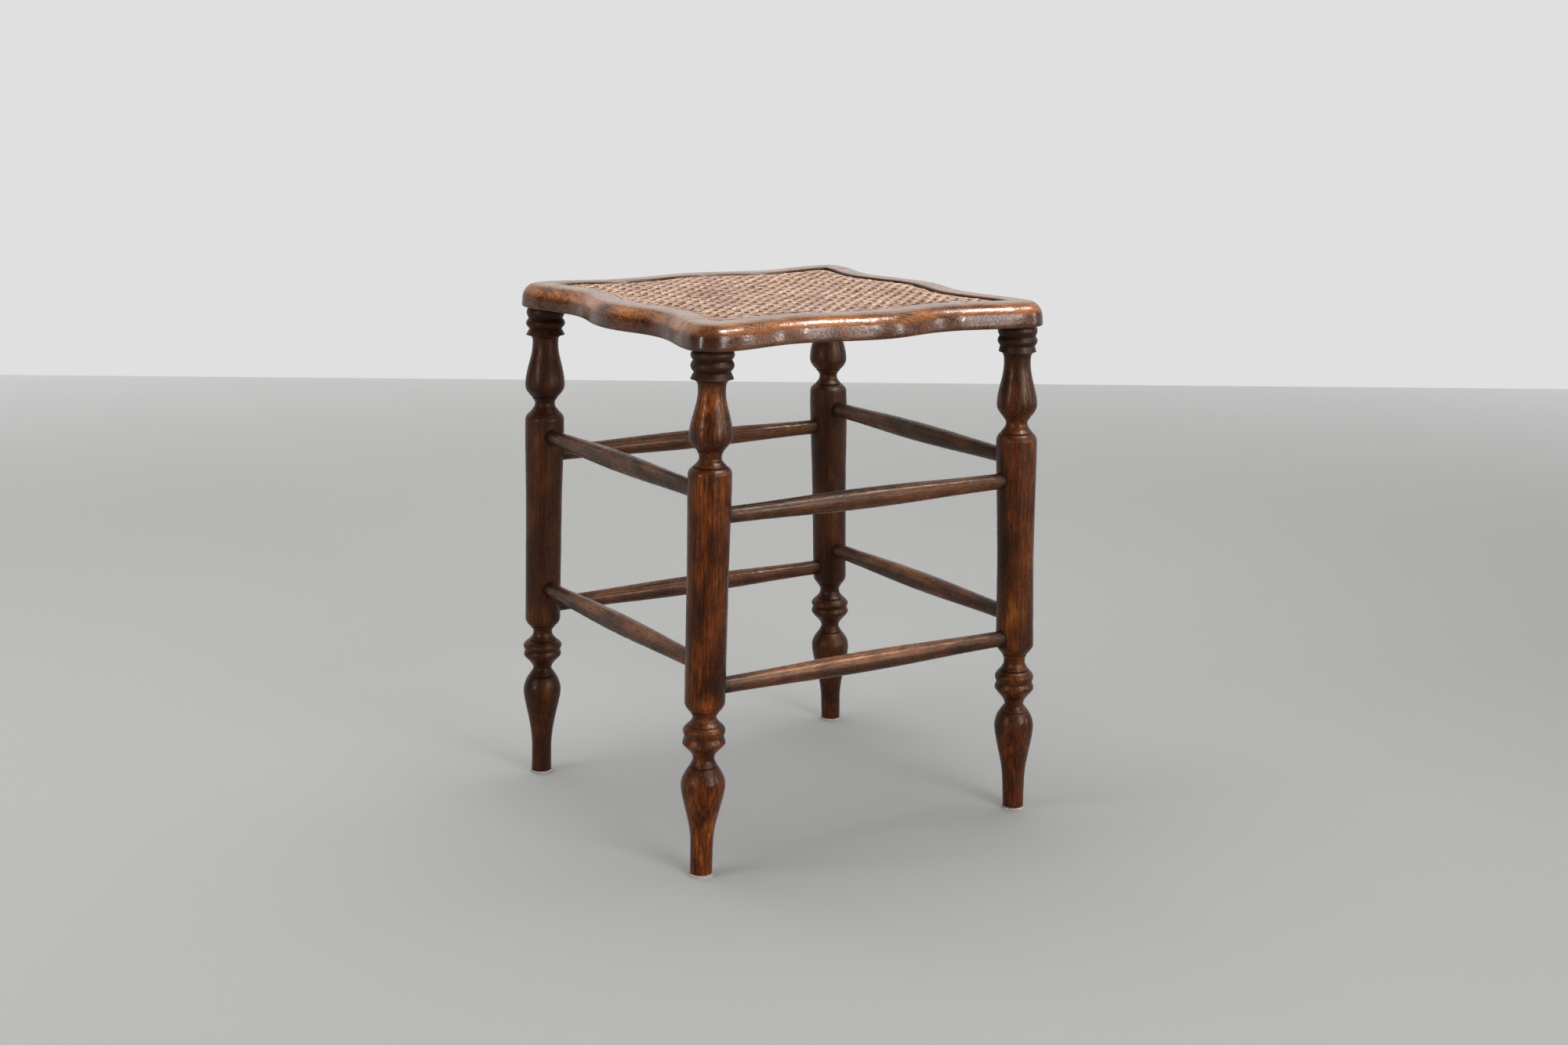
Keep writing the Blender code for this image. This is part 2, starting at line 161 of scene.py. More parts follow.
def addRod(bm, start, end, radius, segments):
    run = Vector(end) - Vector(start)
    place = Matrix.Translation((Vector(start) + Vector(end)) / 2) @ run.to_track_quat("Z", "X").to_matrix().to_4x4()
    bmesh.ops.create_cone(
        bm, cap_ends=True, segments=segments, radius1=radius, radius2=radius, depth=run.length, matrix=place,
    )


def carve(mesh, cutter):
    body = bpy.data.objects.new("body", mesh)
    tool = bpy.data.objects.new("tool", cutter)
    scene.collection.objects.link(body)
    scene.collection.objects.link(tool)
    modifier = body.modifiers.new("carve", "BOOLEAN")
    modifier.operation = "DIFFERENCE"
    modifier.solver = "EXACT"
    modifier.object = tool
    depsgraph = bpy.context.evaluated_depsgraph_get()
    carved = bpy.data.meshes.new_from_object(body.evaluated_get(depsgraph), depsgraph=depsgraph)
    bpy.data.objects.remove(body)
    bpy.data.objects.remove(tool)
    return carved


def shadeSmooth(mesh, angle=40):
    mesh.shade_smooth()
    mesh.set_sharp_from_angle(angle=math.radians(angle))


def pointsOf(mesh):
    places = np.empty(len(mesh.vertices) * 3)
    mesh.vertices.foreach_get("co", places)
    return places.reshape(-1, 3)


def setPoints(mesh, points):
    mesh.vertices.foreach_set("co", points.ravel())
    mesh.update()


def normalsOf(mesh):
    normals = np.empty(len(mesh.vertices) * 3)
    mesh.vertex_normals.foreach_get("vector", normals)
    return normals.reshape(-1, 3)


def store(mesh, name, values):
    kind = "FLOAT" if values.ndim == 1 else "FLOAT_VECTOR"
    attribute = mesh.attributes.new(name, kind, "POINT")
    attribute.data.foreach_set("value" if values.ndim == 1 else "vector", values.astype(np.float32).ravel())


def mottle(points, size, seed):  # smooth random values from -1 to 1, with patches of about that size
    shift = Vector((seed * 7.3, seed * 3.1, seed * 5.7))
    return np.array([noise.noise(Vector(point) / size + shift) for point in points])


def smoothStep(values, low, high):
    share = np.clip((values - low) / (high - low), 0, 1)
    return share * share * (3 - 2 * share)


# Hand work is never quite true: moves points along their normals by a little.
def unevenly(mesh, size, amount, seed, keep=None):
    points = pointsOf(mesh)
    push = mottle(points, size, seed) * amount
    if keep is not None:
        push = push * keep(points)
    setPoints(mesh, points + normalsOf(mesh) * push[:, None])


# Grain runs along one line of the piece; the heart of the tree lies to one side of it.
def storeGrain(mesh, origin, along, heart, seed):
    along = Vector(along).normalized()
    across = along.cross(Vector((0, 0, 1)) if abs(along.z) < 0.9 else Vector((0, 1, 0))).normalized()
    other = along.cross(across)
    turn = np.array([across, other, along]).T
    local = (pointsOf(mesh) - np.array(origin)) @ turn
    store(mesh, "grainPlace", local + np.array([heart[0], heart[1], seed * 0.61]))


# Finishes

oakLooks = {
    "leg": dict(
        deep=(0.0070, 0.0020, 0.0008), brown=(0.0400, 0.0082, 0.0019), warm=(0.1280, 0.0280, 0.0044),
        bright=(0.3100, 0.0920, 0.0150), wornAndHighlight=(0.2600, 0.0880, 0.0220), grimeAndShade=(0.0110, 0.0036, 0.0026),
        ringWidth=0.0030, ringWander=0.012, ringShow=0.06, poreScale=(1000, 1000, 110), poreDark=0.70,
        stain=1.05, blot=0.35, streak=0.70, figure=0.0, dull=0.27, gloss=0.13, glossShare=(0.44, 0.58),
        shine=0.25, sheen=(1.0, 0.70, 0.50), rough=0.28, dirtDull=0.22,
    ),
    "stretcher": dict(
        deep=(0.0090, 0.0036, 0.0022), brown=(0.0380, 0.0120, 0.0050), warm=(0.0840, 0.0262, 0.0088),
        bright=(0.1750, 0.0590, 0.0185), wornAndHighlight=(0.4200, 0.1650, 0.0680), grimeAndShade=(0.0070, 0.0036, 0.0026),
        ringWidth=0.0027, ringWander=0.010, ringShow=0.06, poreScale=(900, 900, 130), poreDark=0.55,
        stain=1.00, blot=0.40, streak=0.50, figure=0.0, dull=0.34, gloss=0.14, glossShare=(0.46, 0.58),
        shine=0.28, sheen=(1.0, 0.80, 0.64), rough=0.40, dirtDull=0.22,
    ),
    "seat": dict(
        deep=(0.0260, 0.0085, 0.0040), brown=(0.0880, 0.0268, 0.0094), warm=(0.1920, 0.0640, 0.0205),
        bright=(0.3200, 0.1350, 0.0550), wornAndHighlight=(0.5400, 0.2060, 0.0760), grimeAndShade=(0.0210, 0.0070, 0.0040),
        topSheen=(0.4500, 0.2550, 0.1600),
        ringWidth=0.0023, ringWander=0.012, ringShow=0.05, poreScale=(750, 750, 130), poreDark=0.40,
        stain=0.85, blot=0.30, streak=0.60, figure=0.95, dull=0.18, gloss=0.10, glossShare=(0.36, 0.52),
        shine=0.37, sheen=(1.0, 0.96, 0.92), rough=0.12, dirtDull=0.05,
    ),
}


def makeOak(name, look):
    material = bpy.data.materials.new(name)
    material.use_nodes = True
    tree = material.node_tree
    shader = tree.nodes["Principled BSDF"]
    place = put(tree, "ShaderNodeAttribute", attribute_name="grainPlace").outputs["Vector"]
    grimeAndShade = put(tree, "ShaderNodeAttribute", attribute_name="grimeAndShade").outputs["Fac"]
    wearAndHighlight = put(tree, "ShaderNodeAttribute", attribute_name="wearAndHighlight").outputs["Fac"]

    # growth rings round the heart of the tree, pushed about along the trunk
    flat = put(tree, "ShaderNodeVectorMath", {0: place, 1: (1, 1, 0)}, operation="MULTIPLY").outputs[0]
    fromHeart = put(tree, "ShaderNodeVectorMath", {0: flat}, operation="LENGTH").outputs["Value"]
    sway = calc(tree, "SUBTRACT", noiseOn(tree, place, (22, 22, 7), 4.0, 0.6), 0.5)
    pushed = calc(tree, "MULTIPLY_ADD", sway, look["ringWander"], fromHeart)
    ring = calc(tree, "FRACT", calc(tree, "DIVIDE", pushed, look["ringWidth"]))
    early = calc(tree, "MULTIPLY", ramp(tree, ring, 0.60, 0.10), ramp(tree, ring, 0.0, 0.10))

    # streaks, broad patches of stain, and pores as short dark dashes that crowd in the early wood
    streak = calc(tree, "SUBTRACT", noiseOn(tree, place, (620, 620, 24), 4.0, 0.65), 0.5)
    patch = calc(tree, "SUBTRACT", noiseOn(tree, place, (40, 40, 18), 4.0, 0.60), 0.5)
    dashes = noiseOn(tree, place, look["poreScale"], 2.0, 0.6)
    fineDashes = noiseOn(tree, place, (2300, 2300, 260), 1.0)
    crowded = calc(tree, "MULTIPLY_ADD", early, 0.07, dashes)
    pores = calc(tree, "MAXIMUM", ramp(tree, crowded, 0.57, 0.64), ramp(tree, fineDashes, 0.58, 0.68, 0.0, 0.7))
    tone = calc(tree, "MULTIPLY_ADD", patch, look["stain"], 0.5)
    tone = calc(tree, "MULTIPLY_ADD", streak, look["streak"], tone)
    blot = calc(tree, "SUBTRACT", noiseOn(tree, place, (120, 120, 50), 3.0, 0.6), 0.5)
    tone = calc(tree, "MULTIPLY_ADD", blot, look["blot"], tone)
    tone = calc(tree, "MULTIPLY_ADD", early, -look["ringShow"], tone)

    # wavy figure that runs across the grain in zigzags and loses the shine
    side, other, along = put(tree, "ShaderNodeSeparateXYZ", {0: place}).outputs
    wander = noiseOn(tree, place, (150, 150, 150), 2.0)
    zigzag = calc(tree, "MULTIPLY_ADD", side, 0.6, other)
    zigzag = calc(tree, "MULTIPLY_ADD", wander, 1.3, calc(tree, "DIVIDE", zigzag, 0.0085))
    zigzag = calc(tree, "PINGPONG", zigzag, 0.5)
    phase = calc(tree, "MULTIPLY_ADD", zigzag, 1.8, calc(tree, "DIVIDE", along, 0.0042))
    phase = calc(tree, "MULTIPLY_ADD", noiseOn(tree, place, (70, 70, 70), 2.0), 3.0, phase)
    figure = ramp(tree, calc(tree, "SINE", calc(tree, "MULTIPLY", phase, math.tau)), 0.0, 0.7)
    figure = calc(tree, "MULTIPLY", figure, ramp(tree, noiseOn(tree, place, (200, 200, 90), 2.0), 0.32, 0.52))
    polish = calc(tree, "SUBTRACT", 1.0, calc(tree, "MULTIPLY", wearAndHighlight, 0.85))  # smooth where hands rub
    clearOfGrimeAndShade = calc(tree, "SUBTRACT", 1.0, grimeAndShade)
    figure = calc(tree, "MULTIPLY", calc(tree, "MULTIPLY", figure, look["figure"]),
                  calc(tree, "MULTIPLY", polish, clearOfGrimeAndShade))
    tone = calc(tree, "MULTIPLY_ADD", figure, -0.22, tone)
    color = colorRamp(tree, tone, (
        (0.20, look["deep"]), (0.42, look["brown"]), (0.60, look["warm"]), (0.84, look["bright"]),
    ))
    # lighter worn colour on rubbed parts; on convex edges and rings it is also painted highlight
    wearAndHighlightShare = calc(tree, "MULTIPLY", wearAndHighlight, ramp(tree, tone, 0.15, 0.60))
    color = blendColor(tree, wearAndHighlightShare, color, look["wornAndHighlight"])
    # painted sheen: the top of the seat is painted a paler greyish-pink for the sheen it shows
    if "topSheen" in look:
        fade = put(tree, "ShaderNodeAttribute", attribute_name="fade").outputs["Fac"]
        color = blendColor(tree, calc(tree, "MULTIPLY", fade, ramp(tree, tone, -0.10, 0.36)), color, look["topSheen"])
    color = blendColor(tree, calc(tree, "MULTIPLY", pores, look["poreDark"]), color, look["deep"])
    # the darkening attribute holds real dirt and painted shade (hollows, recess, underside, lower faces, less-lit
    # legs)
    grimeAndShadeShare = calc(tree, "MULTIPLY", grimeAndShade, ramp(tree, patch, -0.25, 0.05, 0.7, 1.0))
    color = blendColor(tree, grimeAndShadeShare, color, look["grimeAndShade"])
    tree.links.new(color, shader.inputs["Base Color"])

    # old varnish: dull, with glossy flecks left between the pores
    flecks = calc(tree, "MULTIPLY_ADD", noiseOn(tree, place, (60, 60, 25), 2.0), 0.5, -0.25)
    flecks = calc(tree, "ADD", flecks, noiseOn(tree, place, (800, 800, 200), 3.0, 0.6))
    roughness = ramp(tree, flecks, *look["glossShare"], look["dull"], look["gloss"])
    roughness = calc(tree, "MULTIPLY_ADD", calc(tree, "MULTIPLY", pores, polish), 0.12, roughness)
    roughness = calc(tree, "MULTIPLY_ADD", figure, 0.08, roughness)
    roughness = calc(tree, "MULTIPLY_ADD", grimeAndShadeShare, look["dirtDull"], roughness)
    tree.links.new(roughness, shader.inputs["Roughness"])
    shader.inputs["Specular IOR Level"].default_value = look["shine"]
    shader.inputs["Specular Tint"].default_value = (*look["sheen"], 1)

    height = calc(tree, "MULTIPLY_ADD", pores, -0.50, calc(tree, "MULTIPLY", streak, 0.50))
    height = calc(tree, "MULTIPLY_ADD", noiseOn(tree, place, (330, 330, 90), 2.0), 0.60, height)
    height = calc(tree, "MULTIPLY_ADD", figure, 2.4, height)  # the figure breaks up what is reflected
    bump = put(tree, "ShaderNodeBump", {"Height": height, "Strength": look["rough"], "Distance": 0.0005})
    tree.links.new(bump.outputs[0], shader.inputs["Normal"])
    return material


caneLook = dict(
    dark=(0.150, 0.066, 0.043), tan=(0.345, 0.170, 0.110), golden=(0.600, 0.360, 0.235), straw=(0.630, 0.390, 0.215),
    grey=(0.430, 0.290, 0.255), pale=(0.840, 0.620, 0.480), stain=(0.170, 0.085, 0.068), gloss=0.42, shine=0.35,
)


def makeCane(name, look, paleness):
    material = bpy.data.materials.new(name)
    material.use_nodes = True
    tree = material.node_tree
    shader = tree.nodes["Principled BSDF"]
    place = put(tree, "ShaderNodeTexCoord").outputs["Object"]
    strand = put(tree, "ShaderNodeAttribute", attribute_name="strandTone").outputs["Fac"]
    crestLight = put(tree, "ShaderNodeAttribute", attribute_name="crestLight").outputs["Fac"]
    fleck = noiseOn(tree, place, (420, 420, 420), 3.0, 0.6)
    spread = noiseOn(tree, place, (19, 19, 19), 3.0, 0.6)
    tone = calc(tree, "MULTIPLY_ADD", strand, 0.28, paleness)
    tone = calc(tree, "MULTIPLY_ADD", fleck, 0.40, tone)
    tone = calc(tree, "MULTIPLY_ADD", spread, 0.40, tone)
    tone = calc(tree, "MULTIPLY_ADD", crestLight, 0.80, tone)  # painted shade in the low places, painted light on the crests
    color = colorRamp(tree, tone, (
        (0.25, look["dark"]), (0.50, look["tan"]), (0.74, look["golden"]), (1.0, look["pale"]),
    ))
    yellowed = ramp(tree, noiseOn(tree, place, (75, 75, 75), 2.0), 0.48, 0.58, 0.0, 0.55)
    yellowed = calc(tree, "MULTIPLY", yellowed, ramp(tree, tone, 0.40, 0.70))
    color = blendColor(tree, yellowed, color, look["straw"])
    greyed = ramp(tree, noiseOn(tree, place, (62, 62, 62), 2.0), 0.50, 0.62, 0.0, 0.60)
    color = blendColor(tree, greyed, color, look["grey"])
    stained = calc(tree, "MULTIPLY", ramp(tree, spread, 0.46, 0.30), 0.35)
    color = blendColor(tree, stained, color, look["stain"])
    tree.links.new(color, shader.inputs["Base Color"])
    tree.links.new(calc(tree, "MULTIPLY_ADD", fleck, 0.25, look["gloss"] - 0.12), shader.inputs["Roughness"])
    shader.inputs["Specular IOR Level"].default_value = look["shine"]
    bump = put(tree, "ShaderNodeBump", {"Height": fleck, "Strength": 0.25, "Distance": 0.0004})
    tree.links.new(bump.outputs[0], shader.inputs["Normal"])
    return material


def makeFelt(name):
    material = bpy.data.materials.new(name)
    material.use_nodes = True
    tree = material.node_tree
    shader = tree.nodes["Principled BSDF"]
    place = put(tree, "ShaderNodeTexCoord").outputs["Object"]
    lint = noiseOn(tree, place, (900, 900, 900), 4.0, 0.65)
    color = colorRamp(tree, lint, (
        (0.30, (0.16, 0.125, 0.11)), (0.52, (0.42, 0.37, 0.345)), (0.75, (0.62, 0.57, 0.54)),
    ))
    tree.links.new(color, shader.inputs["Base Color"])
    shader.inputs["Roughness"].default_value = 0.92
    bump = put(tree, "ShaderNodeBump", {"Height": lint, "Strength": 0.6, "Distance": 0.0008})
    tree.links.new(bump.outputs[0], shader.inputs["Normal"])
    return material


legOak = makeOak("dark_oak", oakLooks["leg"])
stretcherOak = makeOak("stretcher_oak", oakLooks["stretcher"])
seatOak = makeOak("seat_oak", oakLooks["seat"])
caneSkin = makeCane("cane", caneLook, -0.44)
binderSkin = makeCane("binder_cane", caneLook, -0.36)
felt = makeFelt("pad_felt")
print("finishes ready")


# Seat frame: four rails with a waved edge. Sizes that the frame shows are read from it.

seatLow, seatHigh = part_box("front_rail")
seat = dict(
    top=seatHigh.z, bottom=seatLow.z, reach=seatHigh.x, ledge=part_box("cane_panel")[0].z - 0.0003,
    halfSpacing=0.151, waveDepth=0.013, roundWidth=0.013, roundHeight=0.0142, edgeEase=0.0018, faceLean=0.0004, frameWidth=0.028, ledgeWidth=0.012,
    arris=0.0014, joint=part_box("left_rail")[1].y + 0.0003, pitch=0.0135, holeDiameter=0.0045,
    tenonDiameter=0.020, tenonLength=0.014, dowelDiameter=0.008, seam=0.00015,
    shadedPlaces=((-0.083, -0.165, 0.50), (0.013, -0.172, 0.45), (0.070, -0.165, 0.35), (-0.172, -0.060, 0.25)),
    darkCorners={"front_left": 0.95, "front_right": 0.30, "back_left": 0.75, "back_right": 0.50},
)
seat["overhang"] = seat["reach"] - seat["halfSpacing"]
seat["opening"] = seat["frameWidth"] + seat["ledgeWidth"]
seat["holeInset"] = seat["frameWidth"] + seat["ledgeWidth"] / 2


def dipAt(t):
    return seat["waveDepth"] / 2 * (1 - np.cos(math.tau * np.asarray(t) / seat["halfSpacing"]))


def wave(t, inset):
    return seat["reach"] - inset - dipAt(t)


def cornerOf(inset):  # where two sides of an inset outline meet on the diagonal
    low, high = 0.0, seat["halfSpacing"]
    for _ in range(40):
        middle = (low + high) / 2
        low, high = (middle, high) if wave(middle, inset) > middle else (low, middle)
    return low


def insetOf(points):  # how far in from the seat's edge a point lies
    x, y = np.abs(points[:, 0]), np.abs(points[:, 1])
    sides = np.minimum(wave(x, 0) - y, wave(y, 0) - x)
    fromCorner = np.hypot(x - seat["halfSpacing"], y - seat["halfSpacing"])
    atCorner = (x > seat["halfSpacing"]) & (y > seat["halfSpacing"])
    return np.where(atCorner, seat["overhang"] - fromCorner, sides)


def arc(inset, height, radius, start, end, steps):
    angles = np.radians(np.linspace(start, end, steps))
    return [(inset + radius * math.cos(a), height + radius * math.sin(a)) for a in angles]


def fillIn(points, longest):  # adds points so that no stretch of a closed line is longer than that
    filled = []
    for start, end in zip(points, points[1:] + points[:1]):
        count = max(1, math.ceil(math.dist(start, end) / longest))
        for step in range(count):
            filled.append(tuple(a + (b - a) * step / count for a, b in zip(start, end)))
    return filled


def railSection():
    top, bottom, ledge = seat["top"], seat["bottom"], seat["ledge"]
    ease, small, across, down = seat["edgeEase"], seat["arris"], seat["roundWidth"], seat["roundHeight"]
    width, opening = seat["frameWidth"], seat["opening"]
    line = arc(ease, bottom + ease, ease, 270, 180, 5)
    span = across - seat["faceLean"]
    line += [(across + span * x, top - down + down * y) for x, y in arc(0, 0, 1, 180, 90, 14)]
    line += arc(width - small, top - small, small, 90, 0, 5)
    line += arc(width + small / 2, ledge + small / 2, small / 2, 180, 270, 4)
    line += arc(opening - small, ledge - small, small, 90, 0, 4)
    line += arc(opening - small, bottom + small, small, 0, -90, 4)
    return fillIn(line, 0.0032)


def throughPath(inset):  # left end, corner, front, corner, right end of a rail that carries two legs
    half = seat["halfSpacing"] if inset < seat["overhang"] else cornerOf(inset)
    radius = max(seat["overhang"] - inset, 0)
    arm = np.linspace(seat["joint"], half, 14)
    side = np.linspace(-half, half, 131)[1:-1]
    turns = np.radians(np.linspace(180, 270, 12)[1:-1])
    left = np.stack([-wave(arm, inset), -arm], 1)
    bend = np.stack([-half + radius * np.cos(turns), -half + radius * np.sin(turns)], 1)
    front = np.stack([side, -wave(side, inset)], 1)
    first = np.concatenate([left, bend, [[-half, -wave(half, inset)]]])
    return np.concatenate([first, front, first[::-1] * (-1, 1)])


def sidePath(inset):
    t = np.linspace(-seat["joint"] + seat["seam"], seat["joint"] - seat["seam"], 111)
    return np.stack([-wave(t, inset), t], 1)


def railMesh(name, path, turned):
    section = railSection()
    sign = -1 if turned else 1
    rows = []
    for inset, height in section:
        line = path(inset) * sign
        rows.append(np.column_stack([line, np.full(len(line), height)]))
    return skinRows(name, np.array(rows).transpose(1, 0, 2))


def strandPlaces(inset):
    count = int(cornerOf(inset) / seat["pitch"] + 0.5)
    return [(index + 0.5) * seat["pitch"] for index in range(-count, count)]


def holePlaces(quarter):  # cane holes along one side of the ledge
    places = []
    for t in strandPlaces(seat["holeInset"]):
        x, y = t, -float(wave(t, seat["holeInset"]))
        for _ in range(quarter):
            x, y = -y, x
        places.append((x, y))
    return places


def seatCutters():
    bm = bmesh.new()
    low, high = seat["bottom"] - 0.01, seat["top"] + 0.01
    for quarter in range(4):
        for x, y in holePlaces(quarter):
            addRod(bm, (x, y, low), (x, y, high), seat["holeDiameter"] / 2, 14)
    for corner in corners:
        foot, top = legPoint(corner, low), legPoint(corner, seat["bottom"] + seat["tenonLength"] + 0.0003)
        addRod(bm, foot, top, seat["tenonDiameter"] / 2 + 0.0003, 32)
        for name in ("inner", "outer"):
            near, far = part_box(f"dowel_{corner}_{name}")
            middle = (near + far) / 2
            ends = [(middle.x, place, middle.z) for place in (near.y - 0.0003, far.y + 0.0003)]
            addRod(bm, *ends, seat["dowelDiameter"] / 2 + 0.0003, 20)
    return toMesh("seat_cutters", bm)


def legPoint(corner, height):  # leg centre line, from its pad's middle up to its place under the seat
    low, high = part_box("foot_pad_" + corner)
    foot = (low + high) / 2
    signX, signY = corners[corner]
    top = Vector((signX * seat["halfSpacing"], signY * seat["halfSpacing"], seat["bottom"]))
    place = foot.lerp(top, height / seat["bottom"])
    return Vector((place.x, place.y, height))


railPieces = {  # path, half turn, grain direction, heart of the tree, painted shade low down, seed
    "front_rail": (throughPath, False, (1, 0, 0), (0.085, 0.012), 0.42, 1),
    "back_rail": (throughPath, True, (1, 0, 0), (0.060, -0.020), 0.35, 2),
    "left_rail": (sidePath, False, (0, 1, 0), (0.070, 0.020), 0.50, 3),
    "right_rail": (sidePath, True, (0, 1, 0), (0.055, -0.012), 0.35, 4),
}


def paintRail(mesh, seed, shade):
    points = pointsOf(mesh)
    inset, height = insetOf(points), points[:, 2]
    blotch = mottle(points, 0.022, seed)
    # painted shade along the recess wall below the frame's inner edge
    step = smoothStep(inset, 0.0262, 0.0285) * smoothStep(height, seat["bottom"] + 0.004, seat["bottom"] + 0.008)
    step = step * (0.88 - 0.40 * smoothStep(inset, seat["frameWidth"] + 0.0008, seat["frameWidth"] + 0.0024))
    # painted shade on the underside
    under = 0.72 * smoothStep(-height, -seat["bottom"] - 0.0025, -seat["bottom"])
    # painted shade, darker towards the bottom of the faces
    lowDown = shade * (1 - smoothStep(height, seat["bottom"] + 0.002, seat["bottom"] + 0.014))
    jointLine = np.exp(-((np.abs(points[:, 1]) - seat["joint"]) / 0.0006) ** 2) * (np.abs(points[:, 0]) > 0.115)
    grimeAndShade = np.clip(np.maximum.reduce([step, under, lowDown, 0.2 * jointLine]), 0, 1)
    onRound = smoothStep(height, seat["top"] - 0.011, seat["top"] - 0.006) * smoothStep(-inset, -0.013, -0.004)
    onTop = smoothStep(height, seat["top"] - 0.0016, seat["top"] - 0.0004)
    for corner, darkness in seat["darkCorners"].items():
        signX, signY = corners[corner]
        middle = (signX * (seat["reach"] - 0.006), signY * (seat["reach"] - 0.006), seat["bottom"] + 0.004)
        away = np.linalg.norm((points - middle) / (0.030, 0.030, 0.022), axis=1)
        grimeAndShade = np.maximum(grimeAndShade, darkness * (1 - smoothStep(away + 0.35 * blotch, 0.2, 1.1)))
    # painted shade in patches on the faces where less light falls
    for x, y, darkness in seat["shadedPlaces"]:
        away = np.linalg.norm((points - (x, y, seat["bottom"] + 0.004)) / (0.026, 0.026, 0.013), axis=1)
        grimeAndShade = np.maximum(grimeAndShade, darkness * (1 - smoothStep(away + 0.40 * blotch, 0.2, 1.1)))
    store(mesh, "grimeAndShade", np.clip(grimeAndShade + 0.12 * (blotch - 0.2), 0, 1))
    # worn, and painted highlight, along the round-over
    store(mesh, "wearAndHighlight", np.clip(onRound * (0.68 + 0.5 * blotch), 0, 1))
    # painted sheen on the top
    store(mesh, "fade", np.clip(onTop * (0.80 + 0.3 * blotch), 0, 1))


cutters = seatCutters()
for name, (path, turned, along, heart, shade, seed) in railPieces.items():
    mesh = railMesh(name, path, turned)
    unevenly(mesh, 0.045, 0.00030, seed, lambda p: smoothStep(seat["frameWidth"] - insetOf(p), 0, 0.006))
    mesh = carve(mesh, cutters)
    low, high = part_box(name)
    storeGrain(mesh, (low + high) / 2, along, heart, seed)
    paintRail(mesh, seed, shade)
    shadeSmooth(mesh, 42)
    mesh.materials.clear()
    mesh.materials.append(seatOak)
    addPiece(name + "_wood", mesh, "seat_oak", name)
print("seat rails ready")


# Legs, turned by hand, so each differs a little. Strokes run from the top down.

legTurning = dict(
    segments=56, start=(438.7, 31.2), tenon=(453.0, 20.0),
    kinds=(
        "bead", "bead", "line", "hollow",  # two rings under the seat, sharp flange
        "swing", "swing", "belly", "swing",  # neck, vase, upper cove
        "line", "swing", "line",  # shaft
        "swing", "swing", "fall", "rise",  # lower cove, two lower rings
        "swing", "swing", "swing", "line",  # neck and peg
    ),
    strokes={  # end height and diameter in mm, then fullness, or a bead's crest
        "front_left": (
            (430.4, 31.1, 35.4), (421.0, 29.7, 35.2), (415.5, 35.1, 0), (409.2, 22.7, 0),
            (405.6, 22.4, 1.0), (368.8, 35.5, 0.95), (351.8, 18.4, 1.05), (339.4, 35.6, 1.07),
            (326.1, 36.0, 0), (226.1, 33.9, 0.6), (150.2, 33.5, 0),
            (136.5, 20.1, 1.19), (125.5, 35.1, 1.09), (120.2, 32.2, 0), (114.5, 35.8, 0),
            (101.3, 17.7, 0.71), (78.7, 36.9, 0.79), (27.0, 18.9, 0.84), (2.3, 18.5, 0),
        ),
        "front_right": (
            (429.6, 31.0, 34.1), (421.2, 30.0, 34.3), (416.1, 32.4, 0), (409.8, 23.2, 0),
            (407.5, 23.2, 1.0), (369.5, 35.0, 1.08), (353.6, 18.7, 0.82), (338.3, 35.3, 1.03),
            (326.2, 35.1, 0), (217.8, 31.9, 0.78), (153.6, 33.2, 0),
            (139.5, 18.8, 0.87), (124.1, 34.2, 1.33), (118.9, 31.3, 0), (113.8, 34.5, 0),
            (97.9, 16.7, 0.79), (77.1, 34.7, 0.55), (22.6, 19.5, 0.81), (2.3, 18.5, 0),
        ),
        "back_left": (
            (428.3, 30.2, 34.3), (418.9, 28.9, 35.1), (413.4, 34.9, 0), (408.8, 23.3, 0),
            (406.6, 23.0, 1.0), (367.2, 35.6, 0.99), (350.8, 18.0, 0.86), (336.1, 35.2, 1.09),
            (326.2, 35.4, 0), (226.2, 32.5, 0.69), (150.8, 32.1, 0),
            (136.8, 17.5, 1.34), (123.1, 35.4, 1.36), (119.0, 31.8, 0), (114.6, 34.5, 0),
            (100.8, 16.9, 0.75), (79.6, 34.4, 0.6), (22.9, 17.9, 0.76), (2.3, 18.3, 0),
        ),
        "back_right": (
            (429.5, 31.2, 34.8), (419.3, 29.4, 34.4), (415.5, 33.4, 0), (410.6, 22.9, 0),
            (405.6, 22.4, 1.0), (369.7, 35.7, 0.98), (353.5, 17.0, 0.81), (338.6, 35.2, 1.3),
            (326.0, 36.0, 0), (225.9, 33.0, 1.0), (151.2, 32.3, 0),
            (136.5, 18.8, 1.18), (122.2, 36.4, 1.3), (118.8, 32.6, 0), (114.2, 36.4, 0),
            (98.8, 17.3, 0.87), (78.3, 36.6, 0.78), (20.7, 19.0, 0.84), (2.3, 18.4, 0),
        ),
    },
    cutLines=((6, 0.63), (7, 0.57), (11, 0.61), (12, 0.60), (16, 0.30)),  # stroke, and how far down it
    cutDepth=1.00, cutWidth=0.42, drift=0.12,
    legShading={"front_left": 0.05, "front_right": 0.45, "back_left": 0.70, "back_right": 0.72},
)


def strokeRadius(kind, share, start, end, extra):
    if kind == "bead":
        return start + (end - start) * share + (extra / 2 - (start + end) / 2) * np.sin(math.pi * share)
    shape = {
        "line": lambda s: s,
        "swing": lambda s: (1 - np.cos(math.pi * s ** (extra or 1))) / 2,
        "belly": lambda s: 1 - (1 - np.cos(math.pi * (1 - s) ** (extra or 1))) / 2,
        "hollow": lambda s: np.sqrt(1 - (1 - s) ** 2),
        "fall": lambda s: 1 - np.cos(math.pi / 2 * s),
        "rise": lambda s: np.sin(math.pi / 2 * s),
    }[kind]
    return start + (end - start) * shape(share)


